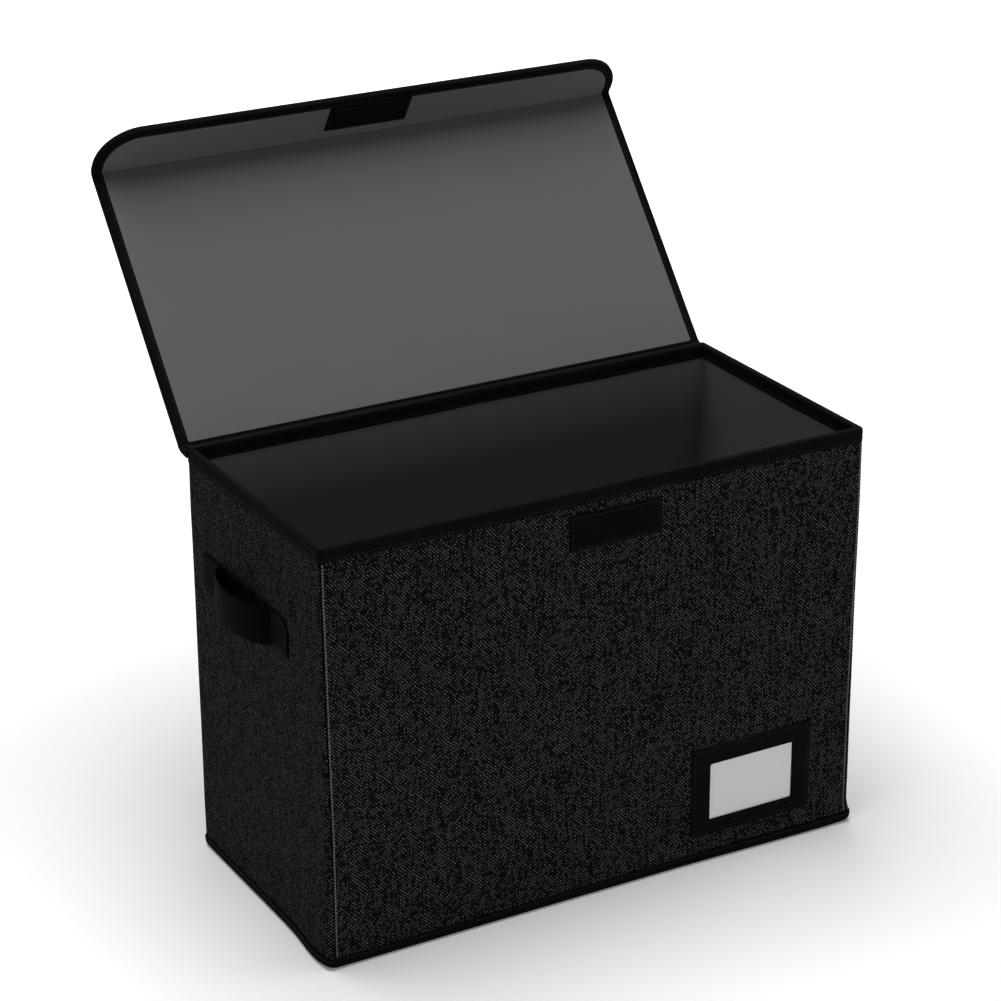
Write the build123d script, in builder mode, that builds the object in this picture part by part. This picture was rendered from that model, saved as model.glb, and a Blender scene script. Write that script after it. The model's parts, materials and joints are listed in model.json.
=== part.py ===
"""Collapsible cloth-covered storage box with a hinged lid, in millimetres.

X runs along the length, the front faces -Y and Z is up. The origin is the centre of the
footprint, on the surface that the box stands on. The lid stands open, as it does in use.

Every wall is a board between a cloth cover and a lining. The end walls are in two halves, so
that they fold inwards at their middle and bring the front wall to the back wall.
"""
import os
from math import cos, radians, sin

from build123d import *

os.makedirs("parts", exist_ok=True)

# Overall sizes
box_length = 403.0  # over the cloth of the end walls
box_depth = 193.0  # over the cloth of the front and back walls
box_height = 294.0  # floor to the top of the rim binding

# Layers of a wall, from outside to inside, and the binding tape over its edges
cloth = 0.8
board = 2.4
lining = 0.8
binding = 0.6
rim_band = 9.0  # height of the binding on each side of the rim
corner_radius = 3.0  # upright edges, in plan

# Clearances
gap = 0.3  # between pieces that move past each other
crease_inset = 1.2  # from the end of a half board to the fold of its end wall

# Base
bottom_sheet = 0.8
base_core = 2.0
base_wrap = 0.5
base_play = 0.5  # round the loose base board
foot_band = 8.0  # height of the binding round the foot of the walls

# Lid and flap
lid_open = 129.5  # degrees from closed
flap_bend = 73.0  # degrees from flat
lid_overhang = 0.5  # past each end wall
flap_height = 35.5
flap_radius = 30.0
edge_band = 6.0  # width of the binding on each side of the lid
hinge_behind = 5.0  # from the outer face of the back wall to the lid's hinge axis
hinge_below = 2.0  # from the top of the box down to that axis
hinge_cloth = 0.7
hinge_lap = 12.0  # overlap of the hinge cloth on each piece that it joins
hinge_leave = 11.0  # from the top of the box down to where the hinge cloth leaves the back wall
hinge_end = 2.0  # from the end of a hinge cloth to the edge binding

# Hook-and-loop closure
closure_thickness = 1.5
loop_length = 69.0
loop_height = 24.5
loop_x = 9.0
loop_below_rim = 40.5  # from the top of the box to the lower edge of the strip
hook_length = 63.0
hook_from_crease = 6.5

# Label holder at the lower right of the front
holder_length = 95.5
holder_height = 66.0
holder_thickness = 1.6
holder_inset = 35.25  # from the end of the front
holder_bottom = 21.0
holder_radius = 1.5
window_length = 66.5
window_height = 42.0
window_bottom = 32.0
card_length = 73.0
card_height = 52.0
card_thickness = 0.35
card_play = 0.15  # before and behind the card
card_side_play = 0.5
card_below_window = 4.0
pane_thickness = 0.3

# Carrying straps on the end walls
strap_height = 26.0
strap_below_rim = 66.0  # from the top of the box to the upper edge of the strap
strap_thickness = 1.8
strap_span = 73.0  # free length, seen from the side
strap_bulge = 15.0  # from the wall to the middle of the strap's thickness
strap_y = 12.0
patch_length = 24.5
patch_thickness = 1.5
patch_radius = 9.0  # upper corner at the front

# Sizes that follow from the ones above
wall = cloth + board + lining
half_length = box_length / 2
half_depth = box_depth / 2
wall_top = box_height - binding
base_bottom = bottom_sheet + gap
base_top = base_bottom + base_core + 2 * base_wrap
foot_height = base_top + gap
corner_x = half_length - wall - binding  # upright fold axes at the corners
corner_y = half_depth - wall - binding
lid_half = wall / 2 + binding
hinge_y = half_depth + hinge_behind
hinge_z = box_height - hinge_below
lid_level = box_height + gap + lid_half - hinge_z  # from the hinge axis to the middle of the lid
flap_plane = half_depth + closure_thickness + gap + closure_thickness - binding
lid_reach = hinge_y + flap_plane  # from the hinge axis to the flap's axis
lid_start = lid_half + gap  # from the hinge axis to the near edge of the lid
half_lid = half_length + lid_overhang
holder_x = half_length - holder_inset - holder_length / 2
loop_bottom = box_height - loop_below_rim
strap_top = box_height - strap_below_rim
pocket_depth = 2 * card_play + card_thickness + pane_thickness
pocket_length = card_length + 2 * card_side_play
pocket_bottom = window_bottom - card_below_window

# One plane for each wall: X along the wall, Y out of the box, origin on the outer face
FRONT = Plane(origin=(0, -half_depth, 0), x_dir=(-1, 0, 0), z_dir=(0, 0, 1))
BACK = Plane(origin=(0, half_depth, 0), x_dir=(1, 0, 0), z_dir=(0, 0, 1))
LEFT = Plane(origin=(-half_length, 0, 0), x_dir=(0, 1, 0), z_dir=(0, 0, 1))
RIGHT = Plane(origin=(half_length, 0, 0), x_dir=(0, -1, 0), z_dir=(0, 0, 1))

# The same faces seen from outside: X to the right, Y up
FRONT_FACE = Plane(origin=(0, -half_depth, 0), x_dir=(1, 0, 0), z_dir=(0, -1, 0))
LEFT_FACE = Plane(origin=(-half_length, 0, 0), x_dir=(0, -1, 0), z_dir=(-1, 0, 0))
RIGHT_FACE = Plane(origin=(half_length, 0, 0), x_dir=(0, 1, 0), z_dir=(1, 0, 0))


def save(piece, name):
    """Label a finished piece and write it as its own STEP file."""
    piece.part.label = name
    export_step(piece.part, f"parts/{name}.step")


def bar(x0, x1, y0, y1, mode=Mode.ADD):
    """A rectangle between two corners of the current sketch."""
    with Locations(((x0 + x1) / 2, (y0 + y1) / 2)):
        Rectangle(x1 - x0, y1 - y0, mode=mode)


def outline(x0, x1, y0, y1, radius):
    """A rectangle with its two outer corners rounded, on a plane of its own."""
    with BuildSketch(mode=Mode.PRIVATE) as shape:
        bar(x0, x1, y0, y1)
        if radius:
            fillet(shape.vertices().group_by(Axis.Y)[-1], radius)
    return shape.sketch


# Walls
def make_wall(name, plane, start, stop, floor, start_fold=False, stop_fold=False):
    """The board, cover, lining and rim binding of one flat wall, from start to stop along it.

    At an end with a fold the board stops short, so that the cloth can crease there. At any
    other end the cover turns round the board.
    """
    whole = not (start_fold or stop_fold)
    board_start = start + (crease_inset if start_fold else cloth)
    board_stop = stop - (crease_inset if stop_fold else cloth)
    lining_start = start + (0 if start_fold else cloth)
    lining_stop = stop - (0 if stop_fold else cloth)
    radius = corner_radius if whole else 0
    height = wall_top - floor
    foot = plane.offset(floor)

    body = outline(start, stop, -wall, 0, radius)
    core = outline(board_start, board_stop, -cloth - board, -cloth, radius and radius - cloth)
    inside = outline(lining_start, lining_stop, -wall, -cloth - board, 0)

    with BuildPart() as wall_board:
        with BuildSketch(foot):
            add(core)
        extrude(amount=height)
    save(wall_board, f"{name}_board")

    with BuildPart() as wall_lining:
        with BuildSketch(foot):
            add(inside)
        extrude(amount=height)
    save(wall_lining, f"{name}_lining")

    with BuildPart() as wall_cover:
        with BuildSketch(foot):
            add(body)
            add(core, mode=Mode.SUBTRACT)
            add(inside, mode=Mode.SUBTRACT)
        extrude(amount=height)
    save(wall_cover, f"{name}_cover")

    # The rim binding goes over the top edge, and round both ends of a whole wall
    lap = binding if whole else 0
    band = plane.offset(wall_top - rim_band)
    with BuildPart() as rim:
        with BuildSketch(band):
            add(outline(start - lap, stop + lap, -wall - binding, binding, radius and radius + binding))
        extrude(amount=rim_band + binding)
        with BuildSketch(band):
            add(body)
        extrude(amount=rim_band, mode=Mode.SUBTRACT)
    save(rim, f"{name}_rim_binding")


moving_floor = foot_height + gap
half_start = gap / 2
half_stop = corner_y - gap
make_wall("back", BACK, -half_length, half_length, foot_height)
make_wall("front", FRONT, -half_length, half_length, moving_floor)
make_wall("left_rear", LEFT, half_start, half_stop, moving_floor, start_fold=True)
make_wall("left_front", LEFT, -half_stop, -half_start, moving_floor, stop_fold=True)
make_wall("right_rear", RIGHT, -half_stop, -half_start, moving_floor, stop_fold=True)
make_wall("right_front", RIGHT, half_start, half_stop, moving_floor, start_fold=True)


# Base
# The foot binding stands round the walls, and its inner edge fills the space below them
outer_foot = gap + binding
with BuildPart() as foot_binding:
    with BuildSketch():
        RectangleRounded(box_length + 2 * outer_foot, box_depth + 2 * outer_foot, corner_radius + outer_foot)
        Rectangle(2 * corner_x, 2 * corner_y, mode=Mode.SUBTRACT)
    extrude(amount=foot_height)
    with BuildSketch(Plane.XY.offset(foot_height)):
        RectangleRounded(box_length + 2 * outer_foot, box_depth + 2 * outer_foot, corner_radius + outer_foot)
        RectangleRounded(box_length + 2 * gap, box_depth + 2 * gap, corner_radius + gap, mode=Mode.SUBTRACT)
    extrude(amount=foot_band - foot_height)
save(foot_binding, "foot_binding")

with BuildPart() as bottom:
    with BuildSketch():
        Rectangle(2 * corner_x, 2 * corner_y)
    extrude(amount=bottom_sheet)
save(bottom, "bottom_cloth")

# The base board is loose: a stiff core in a sleeve that is open at its two short ends
base_length = 2 * (corner_x - base_play)
base_width = 2 * (corner_y - base_play)
with BuildPart() as base_board:
    with BuildSketch(Plane.XY.offset(base_bottom + base_wrap)):
        Rectangle(base_length, base_width - 2 * base_wrap)
    extrude(amount=base_core)
save(base_board, "base_board_core")

with BuildPart() as base_sleeve:
    with BuildSketch(Plane.XY.offset(base_bottom)):
        Rectangle(base_length, base_width)
    extrude(amount=base_core + 2 * base_wrap)
    add(base_board.part, mode=Mode.SUBTRACT)
save(base_sleeve, "base_board_sleeve")


# Lid and flap
# On the lid's planes Y runs back towards the hinge and Z out through the cover
def tilted(origin, degrees):
    """A plane on X whose outer face is turned back from upward by an angle."""
    return Plane(origin=origin, x_dir=(1, 0, 0), z_dir=(0, sin(radians(degrees)), cos(radians(degrees))))


LID = tilted((0, hinge_y, hinge_z), lid_open).offset(lid_level)
FLAP = tilted(LID.from_local_coords(Vector(0, -lid_reach, -lid_half)), lid_open - flap_bend)


def lid_shape(grow=0.0):
    """The lid's outline, wider by grow on both sides."""
    with BuildSketch(mode=Mode.PRIVATE) as shape:
        bar(-half_lid - grow, half_lid + grow, gap / 2 - lid_reach, -lid_start)
    return shape.sketch


def flap_shape(grow=0.0, crease=gap / 2):
    """The flap's outline with its two rounded corners, from the crease out."""
    with BuildSketch(mode=Mode.PRIVATE) as shape:
        bar(-half_lid - grow, half_lid + grow, -flap_height - grow, -crease)
        fillet(shape.vertices().group_by(Axis.Y)[0], flap_radius + grow)
    return shape.sketch


def make_sheet(name, plane, shape, low, thickness):
    """A flat sheet with the given outline, from low upwards on its plane."""
    with BuildPart() as sheet:
        with BuildSketch(plane.offset(low)):
            add(shape)
        extrude(amount=thickness)
    save(sheet, name)


for name, plane, shape, low in (
    ("lid", LID, lid_shape(), -wall / 2),
    ("flap", FLAP, flap_shape(), binding),
):
    make_sheet(f"{name}_lining", plane, shape, low, lining)
    make_sheet(f"{name}_board", plane, shape, low + lining, board)
    make_sheet(f"{name}_cover", plane, shape, low + lining + board, cloth)

# Bindings fold over the two sides of the lid, and over the three free sides of the flap
with BuildPart() as lid_binding:
    with BuildSketch(LID.offset(-lid_half)):
        add(lid_shape(binding))
        bar(edge_band - half_lid, half_lid - edge_band, -lid_reach, 0, mode=Mode.SUBTRACT)
    extrude(amount=2 * lid_half)
    with BuildSketch(LID.offset(-wall / 2)):
        add(lid_shape())
    extrude(amount=wall, mode=Mode.SUBTRACT)
save(lid_binding, "lid_binding")

with BuildPart() as flap_binding:
    with BuildSketch(FLAP):
        add(flap_shape(binding))
        add(flap_shape(-edge_band, crease=0), mode=Mode.SUBTRACT)
    extrude(amount=2 * lid_half)
    with BuildSketch(FLAP.offset(binding)):
        add(flap_shape())
    extrude(amount=wall, mode=Mode.SUBTRACT)
save(flap_binding, "flap_binding")


# The hinge cloths bridge the outside of the two folds of the lid, seen here along X
def side_point(plane, reach, rise):
    """Depth and height of a point on one of the lid's planes."""
    point = plane.from_local_coords(Vector(0, -reach, rise))
    return (point.Y, point.Z)


hinge_half = half_lid - edge_band - hinge_end
SIDE = Plane.YZ.offset(-hinge_half)
on_wall = half_depth + hinge_cloth / 2
on_lid = wall / 2 + gap + hinge_cloth / 2
on_flap = lid_half + on_lid
leaves_wall = box_height - hinge_leave

with BuildPart() as lid_hinge_cloth:
    with BuildSketch(SIDE):
        with BuildLine():
            FilletPolyline(
                (on_wall, leaves_wall - hinge_lap),
                (on_wall, leaves_wall),
                side_point(LID, 0, on_lid),
                side_point(LID, lid_start + hinge_lap, on_lid),
                radius=2 * hinge_cloth,
            )
        trace(line_width=hinge_cloth)
    extrude(amount=2 * hinge_half)
save(lid_hinge_cloth, "lid_hinge_cloth")

with BuildPart() as flap_hinge_cloth:
    with BuildSketch(SIDE):
        with BuildLine():
            lap = Line(side_point(LID, lid_reach - hinge_lap, on_lid), side_point(LID, lid_reach, on_lid))
            TangentArc(lap @ 1, side_point(FLAP, 0, on_flap), tangent=lap % 1)
            Line(side_point(FLAP, 0, on_flap), side_point(FLAP, hinge_lap, on_flap))
        trace(line_width=hinge_cloth)
    extrude(amount=2 * hinge_half)
save(flap_hinge_cloth, "flap_hinge_cloth")


# Hook-and-loop closure
with BuildPart() as loop_strip:
    with BuildSketch(FRONT_FACE):
        bar(loop_x - loop_length / 2, loop_x + loop_length / 2, loop_bottom, loop_bottom + loop_height)
    extrude(amount=closure_thickness)
save(loop_strip, "loop_strip")

with BuildPart() as hook_strip:
    with BuildSketch(FLAP.offset(binding)):
        bar(-hook_length / 2, hook_length / 2, edge_band - flap_height, -hook_from_crease)
    extrude(amount=-closure_thickness)
save(hook_strip, "hook_strip")


# Label holder
holder_top = holder_bottom + holder_height
with BuildPart() as holder:
    with BuildSketch(FRONT_FACE):
        with Locations((holder_x, holder_bottom + holder_height / 2)):
            RectangleRounded(holder_length, holder_height, holder_radius)
    extrude(amount=holder_thickness)
    # The pocket is open at the top, and the window shows the card
    with BuildSketch(FRONT_FACE):
        bar(holder_x - pocket_length / 2, holder_x + pocket_length / 2, pocket_bottom, holder_top)
    extrude(amount=pocket_depth, mode=Mode.SUBTRACT)
    with BuildSketch(FRONT_FACE):
        with Locations((holder_x, window_bottom + window_height / 2)):
            Rectangle(window_length, window_height)
    extrude(amount=holder_thickness, mode=Mode.SUBTRACT)
save(holder, "label_holder")

with BuildPart() as pane:
    with BuildSketch(FRONT_FACE.offset(pocket_depth - pane_thickness)):
        bar(holder_x - pocket_length / 2, holder_x + pocket_length / 2, pocket_bottom, holder_top)
    extrude(amount=pane_thickness)
save(pane, "label_pane")

with BuildPart() as card:
    with BuildSketch(FRONT_FACE.offset(card_play)):
        bar(holder_x - card_length / 2, holder_x + card_length / 2, pocket_bottom, pocket_bottom + card_height)
    extrude(amount=card_thickness)
save(card, "label_card")


# Carrying straps
def make_patch(name, face, inner, outer, radius):
    """A stitched end of a strap, between two places along an end wall, seen from outside."""
    with BuildPart() as patch:
        with BuildSketch(face) as shape:
            bar(min(inner, outer), max(inner, outer), strap_top - strap_height, strap_top)
            if radius:
                upper = shape.vertices().group_by(Axis.Y)[-1].sort_by(Axis.X)
                fillet(upper[-1] if outer > inner else upper[0], radius)
        extrude(amount=patch_thickness)
    save(patch, name)


def make_strap(side, plane, face, along, across):
    """The free part of a strap, an arc off the wall, and its two stitched ends.

    along is the sign of depth on the wall's plane, and across its sign on the wall's face.
    """
    middle = along * strap_y
    ends = strap_thickness / 2 + gap
    with BuildPart() as strap:
        with BuildSketch(plane.offset(strap_top - strap_height)):
            with BuildLine():
                ThreePointArc(
                    (middle - strap_span / 2, ends),
                    (middle, strap_bulge),
                    (middle + strap_span / 2, ends),
                )
            trace(line_width=strap_thickness)
        extrude(amount=strap_height)
    save(strap, f"{side}_strap")

    for end, sign, radius in (("rear", 1, 0), ("front", -1, patch_radius)):
        inner = strap_y + sign * (strap_span + strap_thickness) / 2
        outer = inner + sign * patch_length
        make_patch(f"{side}_strap_{end}_patch", face, across * inner, across * outer, radius)


make_strap("left", LEFT, LEFT_FACE, 1, -1)
make_strap("right", RIGHT, RIGHT_FACE, -1, 1)
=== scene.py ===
# %% [markdown]
# # A collapsible storage box in black cloth
#
# The box is six stiff panels between a woven cover and a grey lining, bound with black tape.
# Its lid stands open, and a flap on the lid closes on the front with hook and loop. The solids
# give every panel its place. Here each soft piece is made again as the cloth it is, and every
# surface gets a finish worked out by formula, with no picture files.

import json

import bmesh
import bpy
import numpy as np
from mathutils import Matrix, Vector


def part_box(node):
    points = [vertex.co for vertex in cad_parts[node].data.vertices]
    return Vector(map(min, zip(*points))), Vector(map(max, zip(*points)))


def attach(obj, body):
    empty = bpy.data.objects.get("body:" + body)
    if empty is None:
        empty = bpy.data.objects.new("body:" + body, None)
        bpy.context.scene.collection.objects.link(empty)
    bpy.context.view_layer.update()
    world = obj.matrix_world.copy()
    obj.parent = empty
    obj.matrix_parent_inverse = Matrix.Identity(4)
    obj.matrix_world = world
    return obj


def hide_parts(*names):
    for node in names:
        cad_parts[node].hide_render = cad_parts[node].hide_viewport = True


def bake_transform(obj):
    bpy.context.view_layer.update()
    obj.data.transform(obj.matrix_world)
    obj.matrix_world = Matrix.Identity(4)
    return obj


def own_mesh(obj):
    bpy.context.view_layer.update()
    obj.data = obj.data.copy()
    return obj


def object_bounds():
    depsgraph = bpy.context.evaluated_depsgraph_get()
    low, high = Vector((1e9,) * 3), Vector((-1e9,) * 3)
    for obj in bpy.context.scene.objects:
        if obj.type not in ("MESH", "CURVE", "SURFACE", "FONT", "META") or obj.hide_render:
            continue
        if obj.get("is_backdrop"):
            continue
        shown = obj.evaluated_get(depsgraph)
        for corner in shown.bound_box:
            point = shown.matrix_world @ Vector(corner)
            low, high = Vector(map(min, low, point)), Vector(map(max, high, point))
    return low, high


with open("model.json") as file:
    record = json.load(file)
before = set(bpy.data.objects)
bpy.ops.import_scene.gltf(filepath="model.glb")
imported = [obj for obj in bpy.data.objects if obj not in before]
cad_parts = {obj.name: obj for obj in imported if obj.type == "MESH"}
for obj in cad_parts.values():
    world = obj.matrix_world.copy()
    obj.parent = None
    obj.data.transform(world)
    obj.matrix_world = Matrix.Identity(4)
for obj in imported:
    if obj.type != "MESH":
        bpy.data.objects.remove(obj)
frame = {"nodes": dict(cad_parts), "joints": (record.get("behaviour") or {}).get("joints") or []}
cad_low, cad_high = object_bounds()
MM = 0.001  # all shapes below are worked out in millimetres

# %% [markdown]
# The sizes that the cloth has to follow are read from the solids, so that nothing has to be
# fitted by eye: how far the walls reach, how thick they are, where the rim tape starts, and the
# two axes that the lid and its flap turn on.

# %% Sizes read from the solids
def node_box(node):
    """Lowest and highest corner of a CAD node at rest, in millimetres."""
    low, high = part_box(node)
    return np.array(low) / MM, np.array(high) / MM


def reach_of(node, origin, direction):
    """Least and greatest distance of a CAD node's points along a direction in depth and height."""
    mesh = frame["nodes"][node].data
    points = np.empty(len(mesh.vertices) * 3, np.float32)
    mesh.vertices.foreach_get("co", points)
    along = (points.reshape(-1, 3)[:, 1:] / MM - origin) @ direction
    return along.min(), along.max()


front_low, front_high = node_box("front_cover")
half_length, half_depth = front_high[0], -front_low[1]
wall = front_high[1] - front_low[1]
wall_low, wall_top = front_low[2], front_high[2]
rim_low, rim_high = node_box("front_rim_binding")
binding = rim_high[2] - wall_top
band = wall_top - rim_low[2]

joints = {joint["name"]: joint for joint in frame["joints"]}
hinge = np.array(joints["lid_hinge"]["pos_m"])[1:] / MM  # depth and height of the axis
crease = np.array(joints["flap_hinge"]["pos_m"])[1:] / MM
lid_open = np.radians(joints["lid_hinge"]["range_deg"][1])
flap_bend = np.radians(-joints["flap_hinge"]["range_deg"][0])
print("box", 2 * half_length, "x", 2 * half_depth, "x", rim_high[2], "mm, wall", round(wall, 2))

# %% [markdown]
# Every new piece is a sheet with a thickness: a closed loop of points, its outer side first and
# its inner side back again, carried along a path. One function turns such rings into faces, and
# one makes the object, with a map called Cloth that says in metres where on its own cloth each
# point lies. The weave follows that map round corners and folds.

# %% From rings of points to a piece
def shell_faces(stations, around_loop, closed=False):
    """Quads of a closed shell made of loops: point i of a loop lies across from the last but i.

    Each loop joins the next one side by side. Open rows get an end made of quads that go
    across the loop, and closed rows join their last loop to the first.
    """
    index = np.arange(stations * around_loop).reshape(stations, around_loop)
    here, there = (index, np.roll(index, -1, 0)) if closed else (index[:-1], index[1:])
    side = np.stack([here, np.roll(here, -1, 1), np.roll(there, -1, 1), there], -1).reshape(-1, 4)
    if closed:
        return side
    i = np.arange(around_loop // 2 - 1)
    across = np.stack([i, around_loop - 1 - i, around_loop - 2 - i, i + 1], -1)
    return np.concatenate([side, index[0][across], index[-1][across[:, ::-1]]])


smooth_below = np.radians(38)  # edges that bend less than this look rounded


def make_piece(name, points, faces, cloth_map, material, smooth=True):
    """A mesh object at the origin, from points in millimetres and their places on the cloth."""
    points, cloth_map = points.reshape(-1, 3), cloth_map.reshape(-1, 2)
    mesh = bpy.data.meshes.new(name)
    mesh.from_pydata((points * MM).tolist(), [], faces.tolist())
    corners = np.empty(len(mesh.loops), np.int32)
    mesh.loops.foreach_get("vertex_index", corners)
    layer = mesh.uv_layers.new(name="Cloth")
    layer.data.foreach_set("uv", (cloth_map * MM)[corners].astype(np.float32).ravel())
    work = bmesh.new()
    work.from_mesh(mesh)
    bmesh.ops.recalc_face_normals(work, faces=work.faces)
    work.to_mesh(mesh)
    work.free()
    if smooth:
        mesh.shade_smooth()
        mesh.set_sharp_from_angle(angle=smooth_below)
    mesh.materials.append(material)
    piece = bpy.data.objects.new(name, mesh)
    bpy.context.scene.collection.objects.link(piece)
    return piece


def make_shell(name, rings, cloth_map, material, closed=False):
    """A piece from rings of points, of shape (stations, points in a loop, 3)."""
    faces = shell_faces(*rings.shape[:2], closed=closed)
    return make_piece(name, rings, faces, np.broadcast_to(cloth_map, rings.shape[:2] + (2,)), material)


# %% [markdown]
# The woven cover is a coarse plain weave: threads about 1.2 mm apart go over and under each
# other, so the crossings make a fine chequer. No thread is quite like the next, and some are
# thicker for a few centimetres, which draws soft streaks up the walls. A picture could be laid
# on, but a formula stays sharp at any distance. The group below works it out from the Cloth map.

# %% Small helpers for node groups and materials
def new_group(name, inputs, outputs):
    """An empty node group with named inputs (name: kind, default) and outputs (name: kind)."""
    group = bpy.data.node_groups.new(name, "ShaderNodeTree")
    for title, (kind, default) in inputs.items():
        socket = group.interface.new_socket(title, in_out="INPUT", socket_type="NodeSocket" + kind)
        socket.default_value = default
    for title, kind in outputs.items():
        group.interface.new_socket(title, in_out="OUTPUT", socket_type="NodeSocket" + kind)
    return group, Wiring(group)


class Wiring:
    """Adds nodes to a tree, and joins a socket or writes a number into each named input."""

    def __init__(self, tree):
        self.tree = tree

    def add(self, kind, inputs=None, **settings):
        node = self.tree.nodes.new(kind)
        for key, value in settings.items():
            setattr(node, key, value)
        for key, value in (inputs or {}).items():
            if isinstance(value, bpy.types.NodeSocket):
                self.tree.links.new(value, node.inputs[key])
            else:
                node.inputs[key].default_value = value
        return node

    def math(self, operation, a, b=0.0, c=0.0):
        """A sum on up to three numbers or sockets."""
        node = self.add("ShaderNodeMath", {0: a, 1: b, 2: c}, operation=operation)
        return node.outputs[0]

    def mix(self, share, a, b):
        """A colour between two colours."""
        node = self.add("ShaderNodeMix", data_type="RGBA")
        for key, value in ((0, share), (6, a), (7, b)):
            if isinstance(value, bpy.types.NodeSocket):
                self.tree.links.new(value, node.inputs[key])
            else:
                node.inputs[key].default_value = value
        return node.outputs[2]

    def noise(self, place, scale, detail=2.0, roughness=0.5, kind="3D"):
        """A smooth random value between about 0 and 1."""
        node = self.add("ShaderNodeTexNoise", {"Vector": place, "Scale": scale, "Detail": detail,
                                               "Roughness": roughness}, noise_dimensions=kind)
        return node.outputs["Fac"]

    def span(self, value, low, high, to_low=0.0, to_high=1.0):
        """A value moved from one range to another, and held inside it."""
        node = self.add("ShaderNodeMapRange", {0: value, 1: low, 2: high, 3: to_low, 4: to_high})
        return node.outputs[0]


def grey(level):
    """A neutral colour."""
    return (level, level, level, 1.0)


# %% The weave, as one group
thread_pair = 2.44  # millimetres from a thread to the next but one, which is one turn of the wave
wander_by = 2.6  # how far a thread strays from its straight line, both ways together
upright_share, lying_share = 2.4, 0.4  # how much each kind of thread draws streaks

weave, w = new_group(
    "Plain weave",
    {"Cloth": ("Vector", (0, 0, 0)), "Pitch": ("Float", thread_pair), "Unevenness": ("Float", 0.5),
     "Dark": ("Color", grey(0.004)), "Light": ("Color", grey(0.02)), "Streaks": ("Float", 0.3)},
    {"Color": "Color", "Height": "Float", "Roughness": "Float"},
)
inside, outside = w.add("NodeGroupInput"), w.add("NodeGroupOutput")
millimetre = w.add("ShaderNodeVectorMath", {0: inside.outputs["Cloth"], 1: (1000, 1000, 1000)},
                   operation="MULTIPLY").outputs[0]
wander = w.add("ShaderNodeTexNoise", {"Vector": millimetre, "Scale": 0.07, "Detail": 2.0},
               noise_dimensions="2D").outputs["Color"]
wander = w.add("ShaderNodeVectorMath", {0: wander, 1: (wander_by, wander_by, 0),
                                        2: (-wander_by / 2, -wander_by / 2, 0)},
               operation="MULTIPLY_ADD").outputs[0]
place = w.add("ShaderNodeVectorMath", {0: millimetre, 1: wander}, operation="ADD").outputs[0]
at = w.add("ShaderNodeSeparateXYZ", {0: place})
turns = w.math("DIVIDE", 2 * np.pi, inside.outputs["Pitch"])
warp = w.math("SINE", w.math("MULTIPLY", at.outputs[0], turns))
weft = w.math("SINE", w.math("MULTIPLY", at.outputs[1], turns))
over = w.math("MULTIPLY", warp, weft)  # above zero where the upright thread is on top
half = w.math("DIVIDE", inside.outputs["Pitch"], 2.0)
column = w.math("FLOOR", w.math("DIVIDE", at.outputs[0], half))
row = w.math("FLOOR", w.math("DIVIDE", at.outputs[1], half))
cell = w.add("ShaderNodeCombineXYZ", {0: column, 1: row}).outputs[0]
lot = w.add("ShaderNodeTexWhiteNoise", {"Vector": cell}, noise_dimensions="2D").outputs["Value"]


def thread_shade(index, along, stretch):
    """How bright one thread is: a slow noise along it, with no link to its neighbours."""
    apart = w.math("MULTIPLY", index, 7.31)  # neighbours read far from each other in the noise
    spot = w.add("ShaderNodeCombineXYZ", {0: apart, 1: w.math("MULTIPLY", along, stretch)})
    return w.noise(spot.outputs[0], 1.0, 2.0, 0.6, kind="2D")


upright = thread_shade(column, at.outputs[1], 0.035)
lying = thread_shade(row, at.outputs[0], 0.05)
mottle = w.noise(millimetre, 0.06, 2.0, 0.5, kind="2D")
streak = w.math("ADD", w.math("MULTIPLY", upright, upright_share), w.math("MULTIPLY", lying, lying_share))
streak = w.math("ADD", streak, w.math("MULTIPLY_ADD", mottle, 0.3, -0.15))
ridge = w.math("MULTIPLY", w.math("ABSOLUTE", warp), 0.35)  # the upright threads stand a little prouder
crown = w.span(w.math("ADD", over, ridge), -0.25, 1.2)
shine = w.math("MULTIPLY_ADD", w.math("SUBTRACT", lot, 0.5), inside.outputs["Unevenness"], 0.7)
streak = w.math("SUBTRACT", streak, (upright_share + lying_share) / 2)
shine = w.math("ADD", shine, w.math("MULTIPLY", streak, inside.outputs["Streaks"]))
shine = w.add("ShaderNodeClamp", {0: shine, 1: 0.1, 2: 1.5}).outputs[0]
share = w.math("MULTIPLY", w.math("POWER", crown, 2.3), shine)
w.tree.links.new(w.mix(share, inside.outputs["Dark"], inside.outputs["Light"]), outside.inputs["Color"])
w.tree.links.new(w.math("MULTIPLY_ADD", crown, 0.7, w.math("MULTIPLY", lot, 0.3)), outside.inputs["Height"])
w.tree.links.new(w.span(crown, 0.0, 1.0, 0.85, 0.6), outside.inputs["Roughness"])


# %% [markdown]
# The other finishes: the lining is a pressed felt with hardly any pattern, the tape has fine
# ribs along its length, the closure strips have a pile, and the holder is smooth grained sheet.

# %% Materials
def new_material(name):
    """A material with its Principled shader and its Cloth map."""
    material = bpy.data.materials.new(name)
    material.use_nodes = True
    wires = Wiring(material.node_tree)
    shader = material.node_tree.nodes["Principled BSDF"]
    cloth_map = wires.add("ShaderNodeUVMap", uv_map="Cloth").outputs["UV"]
    return material, wires, shader, cloth_map


def finish_with(wires, shader, color, roughness, height, depth):
    """Joins a pattern's colour, roughness and height, with its depth in millimetres."""
    bump = wires.add("ShaderNodeBump", {"Height": height, "Distance": depth * MM, "Strength": 1.0})
    for key, value in (("Base Color", color), ("Roughness", roughness), ("Normal", bump.outputs["Normal"])):
        if isinstance(value, bpy.types.NodeSocket):
            wires.tree.links.new(value, shader.inputs[key])
        else:
            shader.inputs[key].default_value = value


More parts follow.
